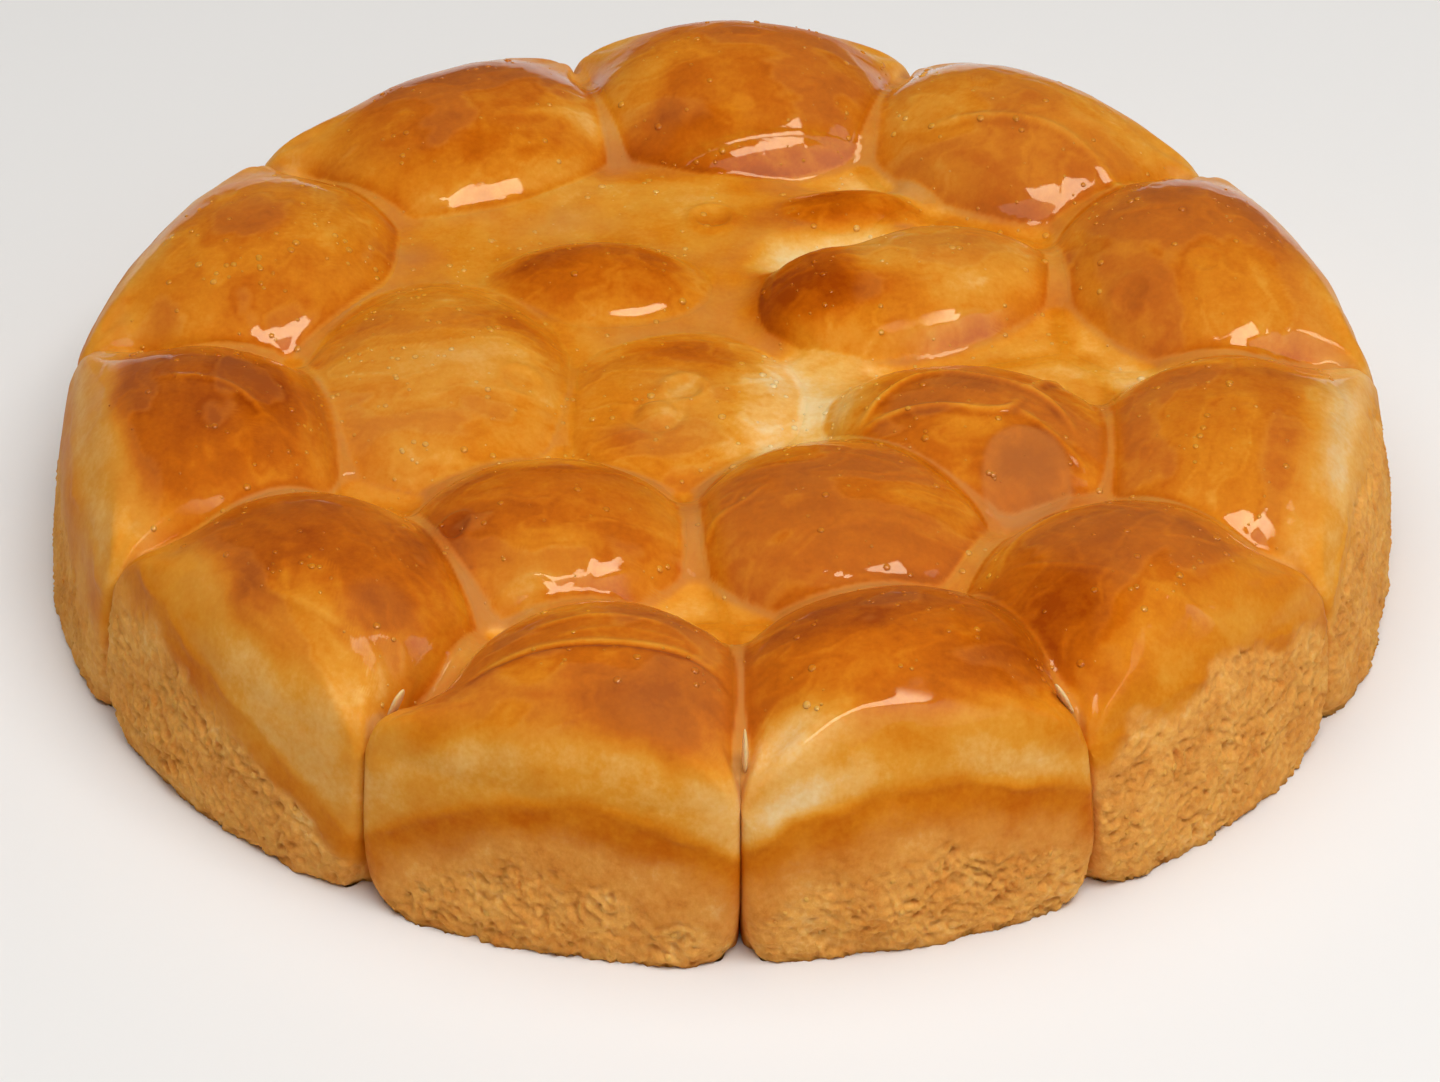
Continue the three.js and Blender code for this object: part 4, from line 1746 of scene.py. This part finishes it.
    def bubble_host(self) -> bpy.types.Mesh:
        """The glazed top as a plain sheet, with how many bubbles lie where.

        Returns:
            The sheet, with its finish values.
        """
        top, skip = self.top, self.BUBBLE_SKIP
        plan = top.plan.reshape(top.count, top.count, 2)[::skip, ::skip].reshape(-1, 2)
        height = (top.filled + top.relief)[::skip, ::skip]
        quads = grid_quads(np.arange(height.size).reshape(height.shape)).reshape(-1, 4)
        inside = np.hypot(*plan.T)[quads].max(axis=1) < self.BUBBLE_REACH
        kept, quads = np.unique(quads[inside], return_inverse=True)
        points = np.column_stack([plan, height.ravel()])[kept]
        skin = Skin.plain(points, quads.reshape(-1, 4))
        self.finish_top(skin)
        clusters = smooth_step(self.noise.at(points, self.CLUSTERS), -0.1, 0.8)
        skin.values[Strewn.SHARE] = 0.12 + 0.88 * clusters
        skin.values["wet"] = np.ones(len(points))
        # The bubbles are painted paler, as glints.
        skin.values["bake"] -= self.BUBBLE_GLINT
        return self.make_mesh("bubble_host", skin)

    def flake_host(self, skins: Sequence[Skin]) -> bpy.types.Mesh:
        """The rough part of the wall, with how many flakes of crust cling where.

        Args:
            skins: The skins of the rim rolls.

        Returns:
            The wall, with its finish values.
        """
        points = np.concatenate([skin.points for skin in skins])
        starts = np.cumsum([0] + [len(skin.points) for skin in skins[:-1]])
        quads = np.concatenate([skin.quads + start for skin, start in zip(skins, starts)])
        values = {
            name: np.concatenate([skin.values[name] for skin in skins]) for name in skins[0].values
        }
        low, high = self.FLAKE_HEIGHTS
        rough = (values["wall"] > 0.8) & (points[:, 2] < high) & (points[:, 2] > low)
        kept, quads = np.unique(quads[rough[quads].all(axis=1)], return_inverse=True)
        skin = Skin.plain(points[kept], quads.reshape(-1, 4))
        skin.values = {name: value[kept] for name, value in values.items()}
        skin.values[Strewn.SHARE] = np.ones(len(kept))
        return self.make_mesh("flake_host", skin)

    def build(self) -> list[bpy.types.Object]:
        """Make every piece of the loaf.

        Returns:
            The pieces.
        """
        finish = GlazedCrust().build()
        made, walls = [], []
        for roll in self.rolls:
            skin = RollSkin(roll, self.rolls, self.top).build()
            self.finish_top(skin)
            if roll.on_rim:
                PressedSide(roll, skin, self.top).press()
                walls.append(skin)
            slot = "pale_crust" if roll.crest < self.PALE_UNDER else "brown_crust"
            piece = self.make_piece(f"{roll.name}_skin", skin, finish)
            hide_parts(roll.name)
            made.append((piece, slot))
        web = GlazeWeb(self.top).build()
        self.finish_top(web)
        drops = GlazeDrops(self.DROPS, self.noise).build()
        self.finish_top(drops)
        # The drops are painted pale, as glints.
        for name, value in self.DROP_GLINT_VALUES.items():
            drops.values[name] = np.full(len(drops.points), value)
        made += [
            (self.make_piece("glaze_web", web, finish), "sugar_glaze"),
            (self.make_piece("glaze_drops", drops, finish), "sugar_glaze"),
            (self.BUBBLES.strew(self.bubble_host(), finish), "sugar_glaze"),
            (self.FLAKES.strew(self.flake_host(walls), finish), "brown_crust"),
        ]
        for piece, slot in made:
            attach(piece, "root")
            LOG.info("%s: %d faces", piece.name, len(piece.data.polygons))
        return [piece for piece, _ in made]


# ---------------------------------------------------------------- the studio


class Shines(Enum):
    """What a lamp does."""

    LIGHT = "light"  # lights the loaf, and the glaze doesn't mirror it
    MIRROR = "mirror"  # only shows in the glaze


@dataclass(frozen=True)
class Lamp:
    """One soft light: which way it lies from the loaf, and its panel, in metres and watts."""

    name: str
    towards: Place  # azimuth and elevation, degrees
    distance: float
    size: Place
    power: float
    shines: Shines
    colour: str = "fffdfa"


@dataclass(frozen=True)
class Studio:
    """A pale floor, soft light from above and the front right, and a camera that looks down.

    Its lengths are metres.
    """

    elevation: float = 36.5
    distance: float = 1.1
    lens: float = 145.0
    sensor: float = 36.0
    aim: Triple = (-0.4 * MM, 0.0, -1.4 * MM)
    floor: str = "e8e8e8"
    half_floor: float = 6.0
    horizon: tuple[float, str] = (0.1, "5c5046")
    zenith: tuple[float, str] = (0.75, "403e3c")
    room: float = 0.6  # how bright the room is round them
    lamps: tuple[Lamp, ...] = (
        Lamp("fill", (-90.0, 84.0), 4.0, (4.6, 4.6), 117.0, Shines.LIGHT),
        Lamp("key", (50.0, 38.0), 1.8, (2.6, 0.9), 4.6, Shines.LIGHT),
        Lamp("softbox", (28.0, 40.0), 1.5, (4.0, 0.85), 12.5, Shines.MIRROR),
        Lamp("strip", (33.0, 63.0), 1.1, (0.9, 0.22), 6.4, Shines.LIGHT),
        Lamp("glint", (33.0, 63.0), 1.0, (0.82, 0.21), 5.4, Shines.MIRROR, "fff2d0"),
    )

    @staticmethod
    def stand(thing: bpy.types.Object, towards: Place, distance: float, aim: Triple) -> None:
        """Stand a lamp or the camera at a distance from the loaf, and turn it to a point.

        Args:
            thing: The lamp or the camera.
            towards: The azimuth and elevation of its place, in degrees.
            distance: How far off it stands.
            aim: The point that it faces.
        """
        azimuth, elevation = (math.radians(v) for v in towards)
        level = math.cos(elevation)
        way = Vector((math.sin(azimuth) * level, -math.cos(azimuth) * level, math.sin(elevation)))
        thing.location = way * distance
        thing.rotation_euler = (Vector(aim) - way * distance).to_track_quat("-Z", "Y").to_euler()

    def camera(self) -> None:
        """Stand the camera in front of the loaf."""
        data = bpy.data.cameras.new("camera")
        data.lens = self.lens
        data.sensor_width = self.sensor
        data.clip_end = 50.0
        camera = link("camera", data)
        self.stand(camera, (0.0, self.elevation), self.distance, self.aim)
        bpy.context.scene.camera = camera

    def floor_plane(self) -> None:
        """Lay the floor."""
        mesh = bpy.data.meshes.new("floor")
        corners = [(x * self.half_floor, y * self.half_floor, 0) for x, y in
                   ((-1, -1), (1, -1), (1, 1), (-1, 1))]
        mesh.from_pydata(corners, [], [(0, 1, 2, 3)])
        material = bpy.data.materials.new("painted_board")
        material.use_nodes = True
        shader = material.node_tree.nodes["Principled BSDF"]
        shader.inputs["Base Color"].default_value = srgb(self.floor)
        shader.inputs["Roughness"].default_value = 0.8
        shader.inputs["Specular IOR Level"].default_value = 0.1
        mesh.materials.append(material)
        floor = link("floor", mesh)

    def light(self, lamp: Lamp) -> None:
        """Hang one soft light that faces the loaf."""
        data = bpy.data.lights.new(lamp.name, "AREA")
        data.shape = "RECTANGLE"
        data.size, data.size_y = lamp.size
        data.energy = lamp.power
        data.color = srgb(lamp.colour)[:3]
        hung = link(lamp.name, data)
        self.stand(hung, lamp.towards, lamp.distance, (0.0, 0.0, 0.0))
        hung.visible_glossy = lamp.shines is not Shines.LIGHT
        hung.visible_diffuse = lamp.shines is not Shines.MIRROR

    def world(self) -> None:
        """Fill the room with dim warm light, a little brighter round the walls than overhead."""
        world = bpy.data.worlds.new("studio")
        world.use_nodes = True
        tree = world.node_tree
        place = add_node(tree, "ShaderNodeTexCoord").outputs["Generated"]
        up = add_node(tree, "ShaderNodeSeparateXYZ", inputs={0: place}).outputs["Z"]
        background = tree.nodes["Background"]
        colour = colour_ramp(tree, (self.horizon, self.zenith), up)
        tree.links.new(colour, background.inputs["Color"])
        background.inputs["Strength"].default_value = self.room
        bpy.context.scene.world = world

    def build(self) -> None:
        """Set up the studio."""
        self.camera()
        self.floor_plane()
        for lamp in self.lamps:
            self.light(lamp)
        self.world()
        bpy.context.scene.view_settings.view_transform = "Standard"


def main() -> None:
    """Build the studio and the loaf."""
    logging.basicConfig(level=logging.INFO, format="%(name)s: %(message)s")
    Studio().build()
    pieces = Loaf().build()
    LOG.info("%d pieces", len(pieces))


if __name__ == "__main__":
    main()
